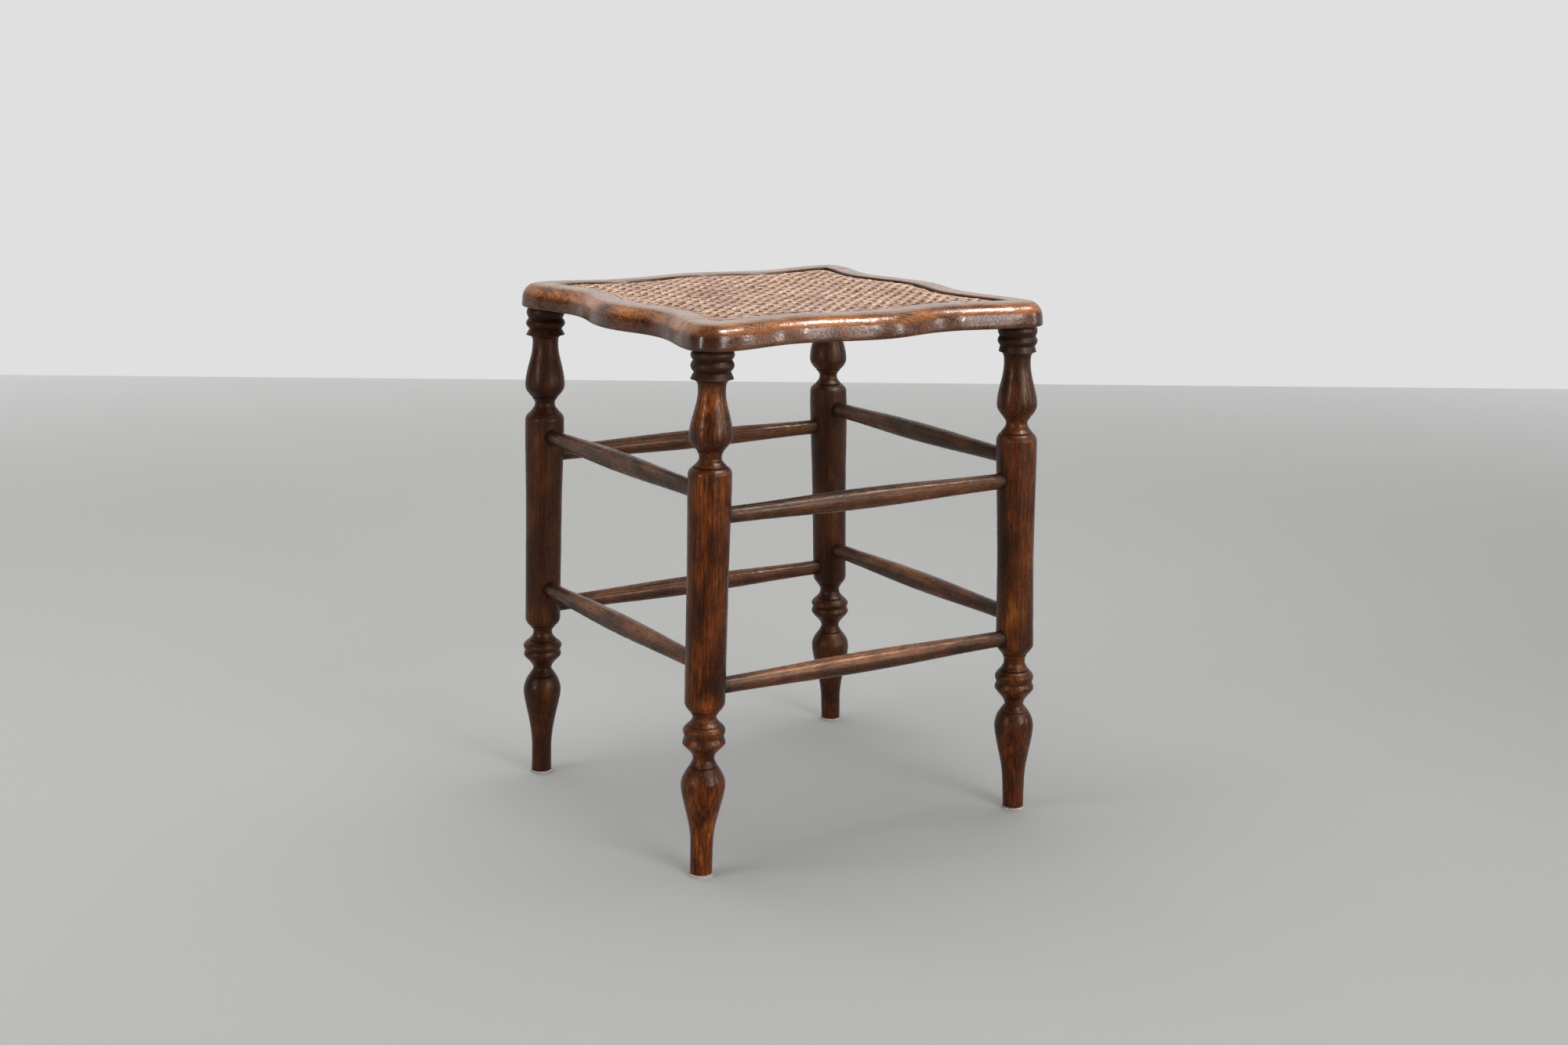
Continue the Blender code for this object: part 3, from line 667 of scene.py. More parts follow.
def legProfile(corner, seed):  # heights and radii in metres, from the seat down to the pad
    turning = legTurning
    heights, radii = [turning["start"][0]], [turning["start"][1] / 2]
    strokes = turning["strokes"][corner]
    for kind, (height, diameter, extra) in zip(turning["kinds"], strokes):
        drop = heights[-1] - height
        spacing = 2.6 if drop > 60 and kind != "swing" else (2.2 if drop > 50 else 0.62)
        share = np.linspace(0, 1, max(3, int(drop / spacing) + 1))[1:]
        start = radii[-1]
        heights += list(heights[-1] - drop * share)
        radii += list(strokeRadius(kind, share, start, diameter / 2, extra))
    lines = [strokes[at - 1][0] + (strokes[at][0] - strokes[at - 1][0]) * down for at, down in turning["cutLines"]]
    levels = np.array(heights)
    for line in lines:
        levels = np.append(levels, line + turning["cutWidth"] * np.linspace(-2, 2, 11))
    levels = np.unique(np.round(levels, 3))[::-1]
    turned = np.interp(-levels, -np.array(heights), radii)
    for index, line in enumerate(lines):
        depth = turning["cutDepth"] * (0.8 + 0.4 * ((seed * 3 + index) % 4) / 3)
        turned -= depth * np.exp(-((levels - line) / turning["cutWidth"]) ** 2)
    drift = np.array([noise.noise(Vector((level / 14, seed * 4.7, 0))) for level in levels])
    return levels / 1000, (turned + turning["drift"] * drift) / 1000


def legMesh(corner, seed):
    heights, radii = legProfile(corner, seed)
    angles = np.linspace(0, math.tau, legTurning["segments"], endpoint=False)
    circle = np.stack([np.cos(angles), np.sin(angles), np.zeros_like(angles)], 1)
    topHeight, topDiameter = (value / 1000 for value in legTurning["tenon"])
    rows = [np.array(legPoint(corner, height)) + circle * topDiameter / 2 for height in (topHeight, heights[0])]
    rows += [np.array(legPoint(corner, height)) + circle * radius for height, radius in zip(heights, radii)]
    return skinRows("leg_" + corner, rows)


stretchers = dict(
    endDiameter=0.0138, middleDiameter=0.0178, stop=0.0025, mortiseFit=0.00025, rings=130, segments=32,
    sides={
        "front": ("front_left", "front_right"), "back": ("back_left", "back_right"),
        "left": ("front_left", "back_left"), "right": ("front_right", "back_right"),
    },
)


def stretcherEnds(side, level):
    low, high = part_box(f"stretcher_{side}_{level}")
    height = (low.z + high.z) / 2
    first, second = (legPoint(corner, height) for corner in stretchers["sides"][side])
    inward = (second - first).normalized() * stretchers["stop"]
    return first + inward, second - inward


def mortiseCutter(corner):
    bm = bmesh.new()
    for side, ends in stretchers["sides"].items():
        for level in ("lower", "upper"):
            if corner not in ends:
                continue
            first, second = stretcherEnds(side, level)
            if corner == ends[1]:
                first, second = second, first
            inward = (second - first).normalized()
            radius = stretchers["endDiameter"] / 2 + stretchers["mortiseFit"]
            addRod(bm, first - inward * 0.0003, first + inward * 0.04, radius, 36)
    return toMesh("mortises_" + corner, bm)


def paintLeg(mesh, corner, seed):
    points = pointsOf(mesh)
    heights, radii = legProfile(corner, seed)
    even = np.arange(0, 0.44, 0.0005)
    radius = np.interp(even, heights[::-1], radii[::-1])

    def hollowBy(reach):  # how far the turning lies inside its own average over that many steps
        kernel = np.hanning(2 * reach + 1)
        broad = np.convolve(np.pad(radius, reach, mode="edge"), kernel / kernel.sum(), mode="valid")
        return np.interp(points[:, 2], even, broad - radius)

    line, cove = hollowBy(6), hollowBy(22)
    blotch = mottle(points, 0.016, seed)
    # painted shade in the cut lines and coves and just under the seat; over the top rings it is partly painted shade,
    # partly dirt; the lower rings and necks are darker too
    grimeAndShade = np.maximum(smoothStep(line, 0.00006, 0.00035), 0.8 * smoothStep(cove, 0.0004, 0.0024))
    grimeAndShade = np.maximum(grimeAndShade, 0.9 * smoothStep(points[:, 2], seat["bottom"] - 0.005, seat["bottom"] - 0.001))
    grimeAndShade = np.maximum(grimeAndShade, 0.98 * smoothStep(points[:, 2], 0.394, 0.420))
    lowRings = smoothStep(points[:, 2], 0.082, 0.092) * smoothStep(-points[:, 2], -0.152, -0.142)
    grimeAndShade = np.maximum(grimeAndShade, 0.45 * lowRings)
    for side, ends in stretchers["sides"].items():
        for level in ("lower", "upper"):
            if corner in ends:
                first, second = (np.array(end) for end in stretcherEnds(side, level))
                near = first if corner == ends[0] else second
                run = (second - first) / np.linalg.norm(second - first)
                offset = points - near
                off = np.linalg.norm(offset - np.outer(offset @ run, run), axis=1)
                sameSide = (offset @ (run if corner == ends[0] else -run)) > 0.006
                grimeAndShade = np.maximum(grimeAndShade, sameSide * 0.85 * (1 - smoothStep(off, 0.0068, 0.0120)))
    # painted shade: the legs that get less light are painted darker all over
    grimeAndShade = np.maximum(grimeAndShade, legTurning["legShading"][corner])
    store(mesh, "grimeAndShade", np.clip(grimeAndShade + 0.15 * (blotch - 0.3), 0, 1))
    # worn, and painted highlight, on the convex turnings
    store(mesh, "wearAndHighlight", np.clip(smoothStep(-cove, 0.0003, 0.0030) * (0.35 + 0.6 * blotch), 0, 0.8))


for seed, corner in enumerate(corners, 11):
    mesh = carve(legMesh(corner, seed), mortiseCutter(corner))
    top = legPoint(corner, seat["bottom"])
    heart = (0.024 * math.cos(seed * 2.1), 0.024 * math.sin(seed * 2.1))
    storeGrain(mesh, top, top - legPoint(corner, 0), heart, seed)
    paintLeg(mesh, corner, seed)
    shadeSmooth(mesh, 38)
    mesh.materials.clear()
    mesh.materials.append(legOak)
    addPiece("leg_" + corner + "_wood", mesh, "dark_oak", "leg_" + corner)
print("legs ready")


# Stretchers follow a line between two legs and swell towards their middles.

def makeStretcherTree():
    tree, given, result = newTree("turnedStretcher", {
        "Start": "Vector", "End": "Vector", "End Radius": "Float", "Middle Radius": "Float",
        "Straight Share": "Float", "Rings": "Int", "Segments": "Int", "Unevenness": "Float", "Seed": "Float",
        "Material": "Material",
    })
    line = put(tree, "GeometryNodeCurvePrimitiveLine", {"Start": given["Start"], "End": given["End"]}).outputs[0]
    line = put(tree, "GeometryNodeResampleCurve", {"Curve": line, "Count": given["Rings"]}).outputs[0]
    along = put(tree, "GeometryNodeSplineParameter").outputs["Factor"]
    fromMiddle = calc(tree, "ABSOLUTE", calc(tree, "MULTIPLY_ADD", along, 2.0, -1.0))
    share = calc(tree, "DIVIDE", calc(tree, "SUBTRACT", 1.0, fromMiddle),
                 calc(tree, "SUBTRACT", 1.0, given["Straight Share"]))
    share = put(tree, "ShaderNodeClamp", {0: calc(tree, "SUBTRACT", share, given["Straight Share"])}).outputs[0]
    swell = calc(tree, "MULTIPLY_ADD", calc(tree, "COSINE", calc(tree, "MULTIPLY", share, math.pi)), -0.5, 0.5)
    grow = calc(tree, "SUBTRACT", given["Middle Radius"], given["End Radius"])
    radius = calc(tree, "MULTIPLY_ADD", grow, swell, given["End Radius"])
    ring = put(tree, "GeometryNodeCurvePrimitiveCircle", {"Resolution": given["Segments"], "Radius": 1.0}).outputs[0]
    rod = put(tree, "GeometryNodeCurveToMesh", {
        "Curve": line, "Profile Curve": ring, "Scale": radius, "Fill Caps": True,
    }).outputs[0]
    bumps = put(tree, "ShaderNodeTexNoise", {"Scale": 55.0, "Detail": 1.0, "W": given["Seed"]}, noise_dimensions="4D")
    push = calc(tree, "MULTIPLY", calc(tree, "SUBTRACT", bumps.outputs["Fac"], 0.5), given["Unevenness"])
    push = calc(tree, "MULTIPLY", push, swell)
    normal = put(tree, "GeometryNodeInputNormal").outputs[0]
    offset = put(tree, "ShaderNodeVectorMath", {0: normal, "Scale": push}, operation="SCALE").outputs[0]
    rod = put(tree, "GeometryNodeSetPosition", {"Geometry": rod, "Offset": offset}).outputs[0]
    rod = put(tree, "GeometryNodeRealizeInstances", {"Geometry": rod}).outputs[0]
    rod = put(tree, "GeometryNodeSetMaterial", {"Geometry": rod, "Material": given["Material"]}).outputs[0]
    tree.links.new(rod, result.inputs[0])
    return tree


stretcherWear = {  # how far the stain is rubbed off the top
    "front_lower": 1.15, "front_upper": 0.20, "left_lower": 0.60, "left_upper": 0.25,
    "right_lower": 0.50, "right_upper": 0.15, "back_lower": 0.20, "back_upper": 0.20,
}


def paintStretcher(mesh, first, second, wearAndHighlightShare, seed):
    points, normals = pointsOf(mesh), normalsOf(mesh)
    length = (second - first).length
    along = (points - np.array(first)) @ np.array((second - first).normalized())
    fromEnd = np.minimum(along, length - along)
    blotch = mottle(points, 0.020, seed)
    grimeAndShade = 0.9 * (1 - smoothStep(fromEnd, 0.014, 0.026))
    store(mesh, "grimeAndShade", np.clip(grimeAndShade + 0.18 * (blotch - 0.2), 0, 1))
    top = smoothStep(normals[:, 2], 0.0, 0.85) * smoothStep(fromEnd, 0.02, 0.09)
    store(mesh, "wearAndHighlight", np.clip(wearAndHighlightShare * top * (0.75 + 0.7 * blotch), 0, 1))


stretcherTree = makeStretcherTree()
for seed, name in enumerate(stretcherWear, 31):
    side, level = name.split("_")
    first, second = stretcherEnds(side, level)
    length = (second - first).length
    mesh = growMesh(stretcherTree, {
        "Start": first, "End": second, "End Radius": stretchers["endDiameter"] / 2,
        "Middle Radius": stretchers["middleDiameter"] / 2, "Straight Share": 2 * 0.0152 / length,
        "Rings": stretchers["rings"], "Segments": stretchers["segments"], "Unevenness": 0.0011,
        "Seed": float(seed), "Material": stretcherOak,
    })
    storeGrain(mesh, first, second - first, (0.016 * math.cos(seed * 1.7), 0.016 * math.sin(seed * 1.7)), seed)
    paintStretcher(mesh, first, second, stretcherWear[name], seed)
    shadeSmooth(mesh, 50)
    addPiece(f"stretcher_{name}_wood", mesh, "stretcher_oak", f"stretcher_{name}")
print("stretchers ready")


# Cane: pairs of strands both ways, locked by two sets of diagonals.

cane = dict(
    widths={"cane_front_to_back": 0.0030, "cane_side_to_side": 0.0045, "cane_diagonals": 0.0034},
    gaps={"cane_front_to_back": 0.00190, "cane_side_to_side": 0.00240, "cane_diagonals": 0.0},
    rises={"cane_front_to_back": -0.0002, "cane_side_to_side": 0.00045, "cane_diagonals": 0.0},
    crossing=0.0022, thickness=0.0011, lift=0.00090, diagonalLift=0.00160, step=0.00135,
    level=seat["top"] - 0.0021, endDrop=0.0032, wander=0.0028,
    binderWidth=0.0046, binderThickness=0.0009, loopWidth=0.0021,
    wornPlaces=((6, 5, 0.0026), (7, 4, 0.0022), (8, 0, 0.0024), (8, -2, 0.0022)),  # column, row, push
)


def makeStrandTree():
    tree, given, result = newTree("caneStrandSet", {
        "Turn": "Float", "Rows": "Int", "Spacing": "Float", "Shift": "Float", "Half Run": "Float", "Step": "Float",
        "Reach": "Float", "Wave Depth": "Float", "Half Spacing": "Float", "Pitch": "Float", "Pair Gap": "Float",
        "Lift": "Float", "Diagonal": "Float", "Level": "Float", "End Drop": "Float", "Wander": "Float",
        "Width": "Float", "Thickness": "Float", "Seed": "Int", "Material": "Material",
    })
    # straight lines side by side, turned to their direction
    count = calc(tree, "ADD", calc(tree, "DIVIDE", calc(tree, "MULTIPLY", given["Half Run"], 2.0), given["Step"]), 1.0)
    line = put(tree, "GeometryNodeMeshLine", {
        "Count": count, "Start Location": vector(tree, calc(tree, "MULTIPLY", given["Half Run"], -1.0)),
        "Offset": vector(tree, given["Step"]),
    }).outputs[0]
    firstRow = calc(tree, "MULTIPLY", calc(tree, "SUBTRACT", 1.0, given["Rows"]),
                    calc(tree, "MULTIPLY", given["Spacing"], 0.5))
    rows = put(tree, "GeometryNodeMeshLine", {
        "Count": given["Rows"], "Start Location": vector(tree, 0.0, calc(tree, "ADD", firstRow, given["Shift"])),
        "Offset": vector(tree, 0.0, given["Spacing"]),
    }).outputs[0]
    lines = put(tree, "GeometryNodeInstanceOnPoints", {"Points": rows, "Instance": line}).outputs[0]
    lines = put(tree, "GeometryNodeRealizeInstances", {"Geometry": lines}).outputs[0]
    lines = put(tree, "GeometryNodeTransform", {
        "Geometry": lines, "Rotation": vector(tree, 0.0, 0.0, given["Turn"]),
    }).outputs[0]

    # what lies outside the line of holes is cut off
    here = put(tree, "GeometryNodeInputPosition").outputs[0]
    split = put(tree, "ShaderNodeSeparateXYZ", {0: here}).outputs
    perRadian = calc(tree, "DIVIDE", math.tau, given["Half Spacing"])

    def roomBeside(along, across):
        swing = calc(tree, "COSINE", calc(tree, "MULTIPLY", along, perRadian))
        dip = calc(tree, "MULTIPLY", calc(tree, "SUBTRACT", 1.0, swing), calc(tree, "MULTIPLY", given["Wave Depth"], 0.5))
        return calc(tree, "SUBTRACT", calc(tree, "SUBTRACT", given["Reach"], dip), calc(tree, "ABSOLUTE", across))

    room = calc(tree, "MINIMUM", roomBeside(split[0], split[1]), roomBeside(split[1], split[0]))
    lines = put(tree, "GeometryNodeDeleteGeometry", {
        "Geometry": lines, "Selection": calc(tree, "LESS_THAN", room, 0.0),
    }, domain="POINT").outputs[0]
    strands = put(tree, "GeometryNodeMeshToCurve", {"Mesh": lines}).outputs[0]

    # over and under: pairs rock at their crossings, diagonals pass over one pair and under the next
    along = calc(tree, "ADD", calc(tree, "MULTIPLY", split[0], calc(tree, "COSINE", given["Turn"])),
                 calc(tree, "MULTIPLY", split[1], calc(tree, "SINE", given["Turn"])))
    fromCrossing = calc(tree, "SUBTRACT", calc(tree, "WRAP", along, given["Pitch"], 0.0),
                        calc(tree, "MULTIPLY", given["Pitch"], 0.5))
    share = calc(tree, "DIVIDE", fromCrossing, given["Pair Gap"])
    fade = calc(tree, "EXPONENT", calc(tree, "MULTIPLY_ADD", calc(tree, "MULTIPLY", share, share), -0.5, 0.5))
    rock = calc(tree, "MULTIPLY", share, fade)
    cross = calc(tree, "COSINE", calc(tree, "MULTIPLY", split[0], calc(tree, "DIVIDE", math.tau, given["Pitch"])))
    rise = calc(tree, "ADD", calc(tree, "MULTIPLY", rock, calc(tree, "SUBTRACT", 1.0, given["Diagonal"])),
                calc(tree, "MULTIPLY", cross, given["Diagonal"]))
    rise = calc(tree, "MULTIPLY", calc(tree, "MULTIPLY", rise, given["Lift"]), ramp(tree, room, 0.002, 0.011))
    rise = calc(tree, "ADD", rise, given["Level"])
    rise = calc(tree, "SUBTRACT", rise, calc(tree, "MULTIPLY", given["End Drop"], ramp(tree, room, 0.0024, 0.0)))

    # each strand wanders a little and has its own tone
    drift = put(tree, "ShaderNodeTexNoise", {"Vector": here, "Scale": 28.0, "Detail": 1.0}).outputs["Color"]
    drift = put(tree, "ShaderNodeVectorMath", {0: drift, 1: (-0.5, -0.5, -0.5)}, operation="ADD").outputs[0]
    drift = put(tree, "ShaderNodeVectorMath", {0: drift, "Scale": given["Wander"]}, operation="SCALE").outputs[0]
    strand = put(tree, "GeometryNodeCurveOfPoint").outputs["Curve Index"]
    chance = put(tree, "FunctionNodeRandomValue", {"ID": strand, "Seed": given["Seed"]})
    tone = chance.outputs[1]
    slip = calc(tree, "MULTIPLY", calc(tree, "SUBTRACT", tone, 0.5), calc(tree, "MULTIPLY", given["Wander"], 0.35))
    slip = vector(tree, calc(tree, "MULTIPLY", slip, calc(tree, "SINE", given["Turn"])),
                  calc(tree, "MULTIPLY", slip, calc(tree, "COSINE", given["Turn"])), rise)
    offset = put(tree, "ShaderNodeVectorMath", {0: drift, 1: slip}, operation="ADD").outputs[0]
    strands = put(tree, "GeometryNodeStoreNamedAttribute", {
        "Geometry": strands, "Name": "strandTone", "Value": tone,
    }, data_type="FLOAT", domain="POINT").outputs[0]
    strands = put(tree, "GeometryNodeSetPosition", {"Geometry": strands, "Offset": offset}).outputs[0]
    strands = put(tree, "GeometryNodeSetCurveNormal", {"Curve": strands}, mode="Z_UP").outputs[0]

    skinStrands(tree, strands, given, result)
    return tree


# Gives curves the flat, domed section of split cane.
def skinStrands(tree, curves, given, result):
    section = put(tree, "GeometryNodeCurvePrimitiveCircle", {"Resolution": 6, "Radius": 0.5}).outputs[0]
    section = put(tree, "GeometryNodeTransform", {
        "Geometry": section, "Scale": vector(tree, given["Width"], given["Thickness"], 1.0),
    }).outputs[0]
    skin = put(tree, "GeometryNodeCurveToMesh", {
        "Curve": curves, "Profile Curve": section, "Fill Caps": True,
    }).outputs[0]
    skin = put(tree, "GeometryNodeSetShadeSmooth", {"Geometry": skin}).outputs[0]
    skin = put(tree, "GeometryNodeRealizeInstances", {"Geometry": skin}).outputs[0]
    skin = put(tree, "GeometryNodeSetMaterial", {"Geometry": skin, "Material": given["Material"]}).outputs[0]
    tree.links.new(skin, result.inputs[0])


def makeStripTree():
    tree, given, result = newTree("flatCane", {
        "Paths": "Geometry", "Width": "Float", "Thickness": "Float", "Seed": "Int", "Material": "Material",
    })
    strips = put(tree, "GeometryNodeMeshToCurve", {"Mesh": given["Paths"]}).outputs[0]
    strip = put(tree, "GeometryNodeCurveOfPoint").outputs["Curve Index"]
    chance = put(tree, "FunctionNodeRandomValue", {"ID": strip, "Seed": given["Seed"]})
    strips = put(tree, "GeometryNodeStoreNamedAttribute", {
        "Geometry": strips, "Name": "strandTone", "Value": chance.outputs[1],
    }, data_type="FLOAT", domain="POINT").outputs[0]
    strips = put(tree, "GeometryNodeSetCurveNormal", {"Curve": strips}, mode="Z_UP").outputs[0]
    skinStrands(tree, strips, given, result)
    return tree


def openWornPlaces(mesh):  # pushes strands aside where the weave has worn open
    points = pointsOf(mesh)
    for column, row, push in cane["wornPlaces"]:
        away = points[:, :2] - (column * seat["pitch"], row * seat["pitch"])
        distance = np.linalg.norm(away, axis=1) + 1e-6
        weight = push * np.exp(-(distance / 0.007) ** 2)
        points[:, :2] += away / distance[:, None] * weight[:, None]
    setPoints(mesh, points)


def joinMeshes(name, meshes):
    bm = bmesh.new()
    for mesh in meshes:
        bm.from_mesh(mesh)
    joined = bpy.data.meshes.new(name)
    bm.to_mesh(joined)
    bm.free()
    joined.materials.append(meshes[0].materials[0])
    return joined


strandTree = makeStrandTree()
pairRows = len(strandPlaces(seat["holeInset"]))
diagonalSpacing = seat["pitch"] / math.sqrt(2)
strandSets = {  # piece: turn, rows, spacing, shift, diagonal, sign of the lift, for each of its sets
    "cane_front_to_back": ((90, pairRows, seat["pitch"], -1, 0, 1), (90, pairRows, seat["pitch"], 1, 0, -1)),
    "cane_side_to_side": ((0, pairRows, seat["pitch"], -1, 0, 1), (0, pairRows, seat["pitch"], 1, 0, -1)),
    "cane_diagonals": ((45, 40, diagonalSpacing, 0, 1, 1), (-45, 40, diagonalSpacing, 0, 1, -0.50)),
}
for seed, (name, sets) in enumerate(strandSets.items(), 51):
    meshes = []
    for turn, rows, spacing, shift, diagonal, sign in sets:
        meshes.append(growMesh(strandTree, {
            "Turn": math.radians(turn), "Rows": rows, "Spacing": spacing, "Shift": shift * cane["gaps"][name],
            "Half Run": cane["step"] * (150 if diagonal else 110), "Step": cane["step"],
            "Reach": seat["reach"] - seat["holeInset"], "Wave Depth": seat["waveDepth"],
            "Half Spacing": seat["halfSpacing"], "Pitch": seat["pitch"], "Pair Gap": cane["crossing"],
            "Lift": sign * cane["diagonalLift" if diagonal else "lift"], "Diagonal": float(diagonal),
            "Level": cane["level"] + cane["rises"][name], "End Drop": 0.0 if diagonal else cane["endDrop"], "Wander": cane["wander"],
            "Width": cane["widths"][name], "Thickness": cane["thickness"],
            "Seed": seed * 10 + shift, "Material": caneSkin,
        }))
    mesh = joinMeshes(name, meshes)
    openWornPlaces(mesh)
    # painted shade and light: darker low down and on downward-facing sides, lighter on the crests; undersides get a
    # middling shade
    crestLight = smoothStep(pointsOf(mesh)[:, 2], cane["level"] - 0.0016, cane["level"] + 0.0017)
    facing = normalsOf(mesh)[:, 2]
    crestLight = crestLight * (0.62 + 0.38 * smoothStep(facing, 0.0, 0.6))
    store(mesh, "crestLight", np.where(facing < -0.5, 0.45, crestLight))
    addPiece(name, mesh, "cane", "cane_panel")
print("cane woven")


def pathMesh(name, paths, closed=False):
    mesh = bpy.data.meshes.new(name)
    points, edges = [], []
    for path in paths:
        first = len(points)
        points += [tuple(point) for point in path]
        edges += [(first + index, first + index + 1) for index in range(len(path) - 1)]
        if closed:
            edges.append((len(points) - 1, first))
    mesh.from_pydata(points, edges, [])
    return mesh


def binderPath():  # the line of holes, its corners drawn round as a strip bends
    corner = cornerOf(seat["holeInset"])
    t = np.linspace(-corner, corner, 160, endpoint=False)
    side = np.stack([t, -wave(t, seat["holeInset"])], 1)
    ring = []
    for quarter in range(4):
        ring.append(side)
        side = np.stack([-side[:, 1], side[:, 0]], 1)
    ring = np.concatenate(ring)
    reach = 4
    ring = sum(np.roll(ring, shift, axis=0) for shift in range(-reach, reach + 1)) / (2 * reach + 1)
    height = cane["level"] - 0.0002 + 0.0002 * np.sin(np.arange(len(ring)) * 0.35)
    return np.column_stack([ring, height])[::2]


def overBinder(x, y):  # a strand that comes up one side of the binder and goes down the other
    outward = np.array([0, np.sign(y)]) if abs(y) > abs(x) else np.array([np.sign(x), 0])
    steps = np.linspace(-1, 1, 9)
    place = np.array([x, y]) + np.outer(steps, outward) * (cane["binderWidth"] / 2 + 0.0006)
    height = cane["level"] + 0.0005 - 0.0022 * np.abs(steps) ** 5
    return np.column_stack([place, height])


def underLoop(first, second):  # on the underside the strand runs from one hole to the next
    steps = np.linspace(0, 1, 11)
    place = np.outer(1 - steps, first) + np.outer(steps, second)
    sag = 1 - np.abs(2 * steps - 1) ** 6
    return np.column_stack([place, seat["bottom"] + 0.0016 - 0.0022 * sag])


stripTree = makeStripTree()
couching, underside = [], []
for quarter in range(4):
    holes = holePlaces(quarter)
    couching += [overBinder(x, y) for x, y in holes[1:-1:2]]
    underside += [underLoop(np.array(a), np.array(b)) for a, b in zip(holes, holes[1:])]
stripPieces = {  # paths, closed, width, thickness, replaced nodes
    "cane_binder_strip": ([binderPath()], True, cane["binderWidth"], cane["binderThickness"], ("cane_binder",)),
    "binder_loops": (couching, False, cane["loopWidth"], 0.0006, ("cane_binder",)),
    "cane_loops_underneath": (underside, False, cane["widths"]["cane_front_to_back"], cane["thickness"], ("cane_panel",)),
}
for seed, (name, (paths, closed, width, thickness, nodes)) in enumerate(stripPieces.items(), 71):
    mesh = growMesh(stripTree, {
        "Width": width, "Thickness": thickness, "Seed": seed,
        "Material": caneSkin if "underneath" in name else binderSkin,
    }, pathMesh(name, paths, closed))
    # the same painted light level all along the binder and loops
    store(mesh, "crestLight", np.full(len(mesh.vertices), 0.7))
    addPiece(name, mesh, "cane" if "underneath" in name else "binder_cane", *nodes)
print("binder and loops ready")


# Felt pads with ragged edges

def padMesh(corner, seed):
    low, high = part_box("foot_pad_" + corner)
    middle, radius = (low + high) / 2, (high.x - low.x) / 2
    angles = np.linspace(0, math.tau, 64, endpoint=False)
    rows = []
    for share, inset in ((0.0, 0.55), (0.06, 0.15), (0.35, 0.0), (0.75, 0.1), (1.0, 0.4)):
        height = low.z + (high.z - low.z) * share
        ragged = [noise.noise(Vector((math.cos(a) * 3, math.sin(a) * 3, seed + share * 2))) for a in angles]
        fine = [noise.noise(Vector((math.cos(a) * 11, math.sin(a) * 11, seed * 2 + share * 4))) for a in angles]
        ring = radius + 0.0006 - inset * 0.001 + 0.0008 * np.array(ragged) + 0.0005 * np.array(fine)
        rows.append(np.stack([middle.x + ring * np.cos(angles), middle.y + ring * np.sin(angles),
                              np.full(64, height)], 1))
    return skinRows("pad", rows)


for seed, corner in enumerate(corners, 81):
    mesh = padMesh(corner, seed)
    shadeSmooth(mesh, 60)
    mesh.materials.append(felt)
    addPiece(f"foot_pad_{corner}_felt", mesh, "pad_felt", "foot_pad_" + corner)


# Dowels stay as they are, inside the joints, with a bare wood finish

def makeBareOak(name):
    material = bpy.data.materials.new(name)
    material.use_nodes = True
    tree = material.node_tree
    shader = tree.nodes["Principled BSDF"]
    place = put(tree, "ShaderNodeTexCoord").outputs["Object"]
    streak = noiseOn(tree, place, (900, 40, 900), 3.0)
    color = colorRamp(tree, streak, ((0.3, (0.16, 0.085, 0.040)), (0.7, (0.34, 0.205, 0.105))))
    tree.links.new(color, shader.inputs["Base Color"])
    shader.inputs["Roughness"].default_value = 0.6
    return material


bareOak = makeBareOak("dowel_oak")
for name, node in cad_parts.items():
    if name.startswith("dowel_"):
        node.data.materials.clear()
        node.data.materials.append(bareOak)
print("pads and dowels ready")


# Camera, floor, backdrop and light

view = dict(
    place=(-1.0346, -1.6870, 0.6989), heading=31.77, pitch=12.73, roll=0.521, focal=2880, imageWidth=2000,
    wallDistance=4.33, floorColor=(0.46, 0.46, 0.452), wallColor=(0.745, 0.745, 0.745),
    worldLight=0.20, worldReflected=0.08,
)
lamps = {  # place, target, direction of its width, width and height, beam in degrees, power, what it serves
    "ceiling": ((0.70, 1.80, 3.20), (0.70, 1.80, 0), (1, 0, 0), (5.00, 5.00), 180, 144, "fill"),
    "front_fill": ((0.20, -2.80, 0.80), (0, 0, 0.38), (1, 0.15, 0), (1.40, 1.20), 70, 12.5, "fill"),
    "left_fill": ((-2.60, 0.20, 1.20), (0, 0, 0.35), (0, 1, 0), (1.40, 1.40), 180, 28, "fill"),
    "window_card": ((0.47, -2.50, 1.05), (0.47, 0, 1.05), (1, 0, 0), (0.65, 1.40), 180, 28, "shine"),
    "narrow_card": ((1.00, -2.42, 1.10), (0, 0, 0.60), (1, 0.4, 0), (0.14, 1.00), 180, 24, "shine"),
    "right_card": ((1.94, -1.67, 0.80), (0, 0, 0.45), (1, 1.1, 0), (0.30, 1.00), 180, 14, "shine"),
    "side_card": ((-2.40, -0.45, 0.90), (0, 0, 0.40), (0.2, -1, 0), (0.30, 1.20), 180, 20, "shine"),
    "ceiling_card": ((0.80, -1.25, 2.60), (0.80, -1.25, 0), (1, 0, 0), (0.80, 0.70), 180, 90, "shine"),
    "ceiling_card_right": ((1.75, -0.95, 2.60), (1.75, -0.95, 0), (1, 0, 0), (0.60, 0.60), 180, 32, "shine"),
}


def addCamera():
    data = bpy.data.cameras.new("photo_view")
    data.sensor_width = 36
    data.lens = view["focal"] / view["imageWidth"] * data.sensor_width
    data.clip_end = 50
    camera = bpy.data.objects.new("photo_view", data)
    scene.collection.objects.link(camera)
    turn = Matrix.Rotation(math.radians(-view["heading"]), 4, "Z")
    tip = Matrix.Rotation(math.radians(90 - view["pitch"]), 4, "X")
    lean = Matrix.Rotation(math.radians(view["roll"]), 4, "Z")
    camera.matrix_world = Matrix.Translation(view["place"]) @ turn @ tip @ lean
    scene.camera = camera


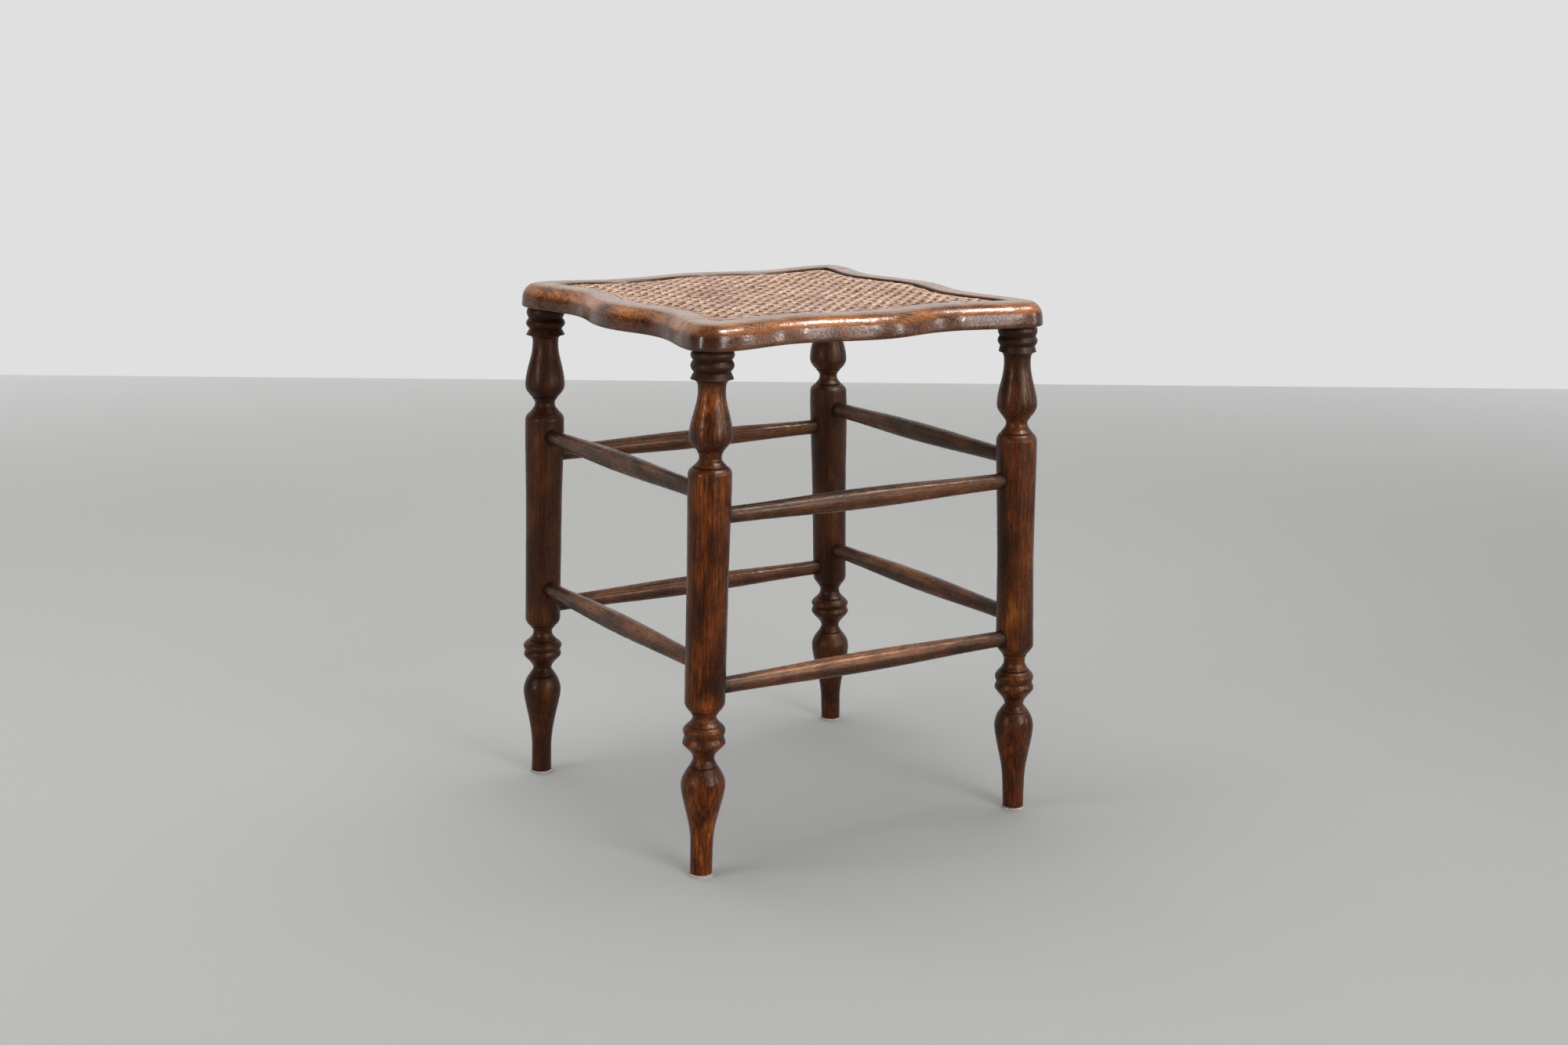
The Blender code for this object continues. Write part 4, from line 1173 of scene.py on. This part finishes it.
def addStagePlane(name, matrix, width, depth, color, roughness, paleFrom):
    bm = bmesh.new()
    bmesh.ops.create_grid(bm, x_segments=1, y_segments=1, size=0.5)
    bmesh.ops.transform(bm, matrix=matrix @ Matrix.Diagonal((width, depth, 1, 1)), verts=bm.verts)
    mesh = bpy.data.meshes.new(name)
    bm.to_mesh(mesh)
    bm.free()
    material = bpy.data.materials.new(name)
    material.use_nodes = True
    tree = material.node_tree
    shader = tree.nodes["Principled BSDF"]
    shader.inputs["Base Color"].default_value = (*color, 1)
    shader.inputs["Roughness"].default_value = roughness
    shader.inputs["Specular IOR Level"].default_value = 0.0
    # an even pale backdrop in the picture and in reflections, from some way off
    ray = put(tree, "ShaderNodeLightPath").outputs
    seen = calc(tree, "MAXIMUM", ray["Is Camera Ray"],
                calc(tree, "MAXIMUM", ray["Is Glossy Ray"], ray["Is Transmission Ray"]))
    place = put(tree, "ShaderNodeTexCoord").outputs["Object"]
    away = put(tree, "ShaderNodeVectorMath", {0: place}, operation="LENGTH").outputs["Value"]
    seen = calc(tree, "MULTIPLY", seen, ramp(tree, away, *paleFrom))
    even = put(tree, "ShaderNodeEmission", {"Color": (*view["wallColor"], 1)}).outputs[0]
    mixed = put(tree, "ShaderNodeMixShader", {0: seen, 1: shader.outputs[0], 2: even}).outputs[0]
    tree.links.new(mixed, tree.nodes["Material Output"].inputs["Surface"])
    mesh.materials.append(material)
    plane = bpy.data.objects.new(name, mesh)
    scene.collection.objects.link(plane)


def addSoftLight(name, place, target, side, size, beam, power, serves):
    data = bpy.data.lights.new(name, "AREA")
    data.shape = "RECTANGLE"
    data.size, data.size_y = size
    data.spread = math.radians(beam)
    data.energy = power
    lamp = bpy.data.objects.new(name, data)
    scene.collection.objects.link(lamp)
    back = (Vector(place) - Vector(target)).normalized()
    right = (Vector(side) - back * back.dot(Vector(side))).normalized()
    turn = Matrix((right, back.cross(right), back)).transposed().to_4x4()
    lamp.matrix_world = Matrix.Translation(place) @ turn
    lamp.visible_camera = False
    lamp.visible_glossy = serves == "shine"
    lamp.visible_diffuse = serves == "fill"


def addWorld():  # even light all round, pale where it is seen and darker where it is reflected
    world = bpy.data.worlds.new("studio")
    world.use_nodes = True
    tree = world.node_tree
    ray = put(tree, "ShaderNodeLightPath").outputs
    level = ramp(tree, ray["Is Glossy Ray"], 0.0, 1.0, view["worldLight"], view["worldReflected"])
    level = ramp(tree, ray["Is Camera Ray"], 0.0, 1.0, level, view["wallColor"][0])
    tree.nodes["Background"].inputs["Color"].default_value = (1, 1, 1, 1)
    tree.links.new(level, tree.nodes["Background"].inputs["Strength"])
    scene.world = world


addCamera()
ahead = Vector((math.sin(math.radians(view["heading"])), math.cos(math.radians(view["heading"])), 0))
wallFoot = Vector(view["place"]) * Vector((1, 1, 0)) + ahead * view["wallDistance"]
wallTurn = Matrix.Rotation(math.radians(-view["heading"]), 4, "Z") @ Matrix.Rotation(math.radians(90), 4, "X")
addStagePlane("floor", Matrix.Identity(4), 60, 60, view["floorColor"], 0.42, (1.2, 4.0))
wallPlace = Matrix.Translation(wallFoot + Vector((0, 0, 3))) @ wallTurn
addStagePlane("backdrop", wallPlace, 14, 6, view["wallColor"], 0.8, (0.0, 0.01))

for name, settings in lamps.items():
    addSoftLight(name, *settings)
addWorld()
scene.view_settings.view_transform = "Standard"
print("camera, floor and light ready")
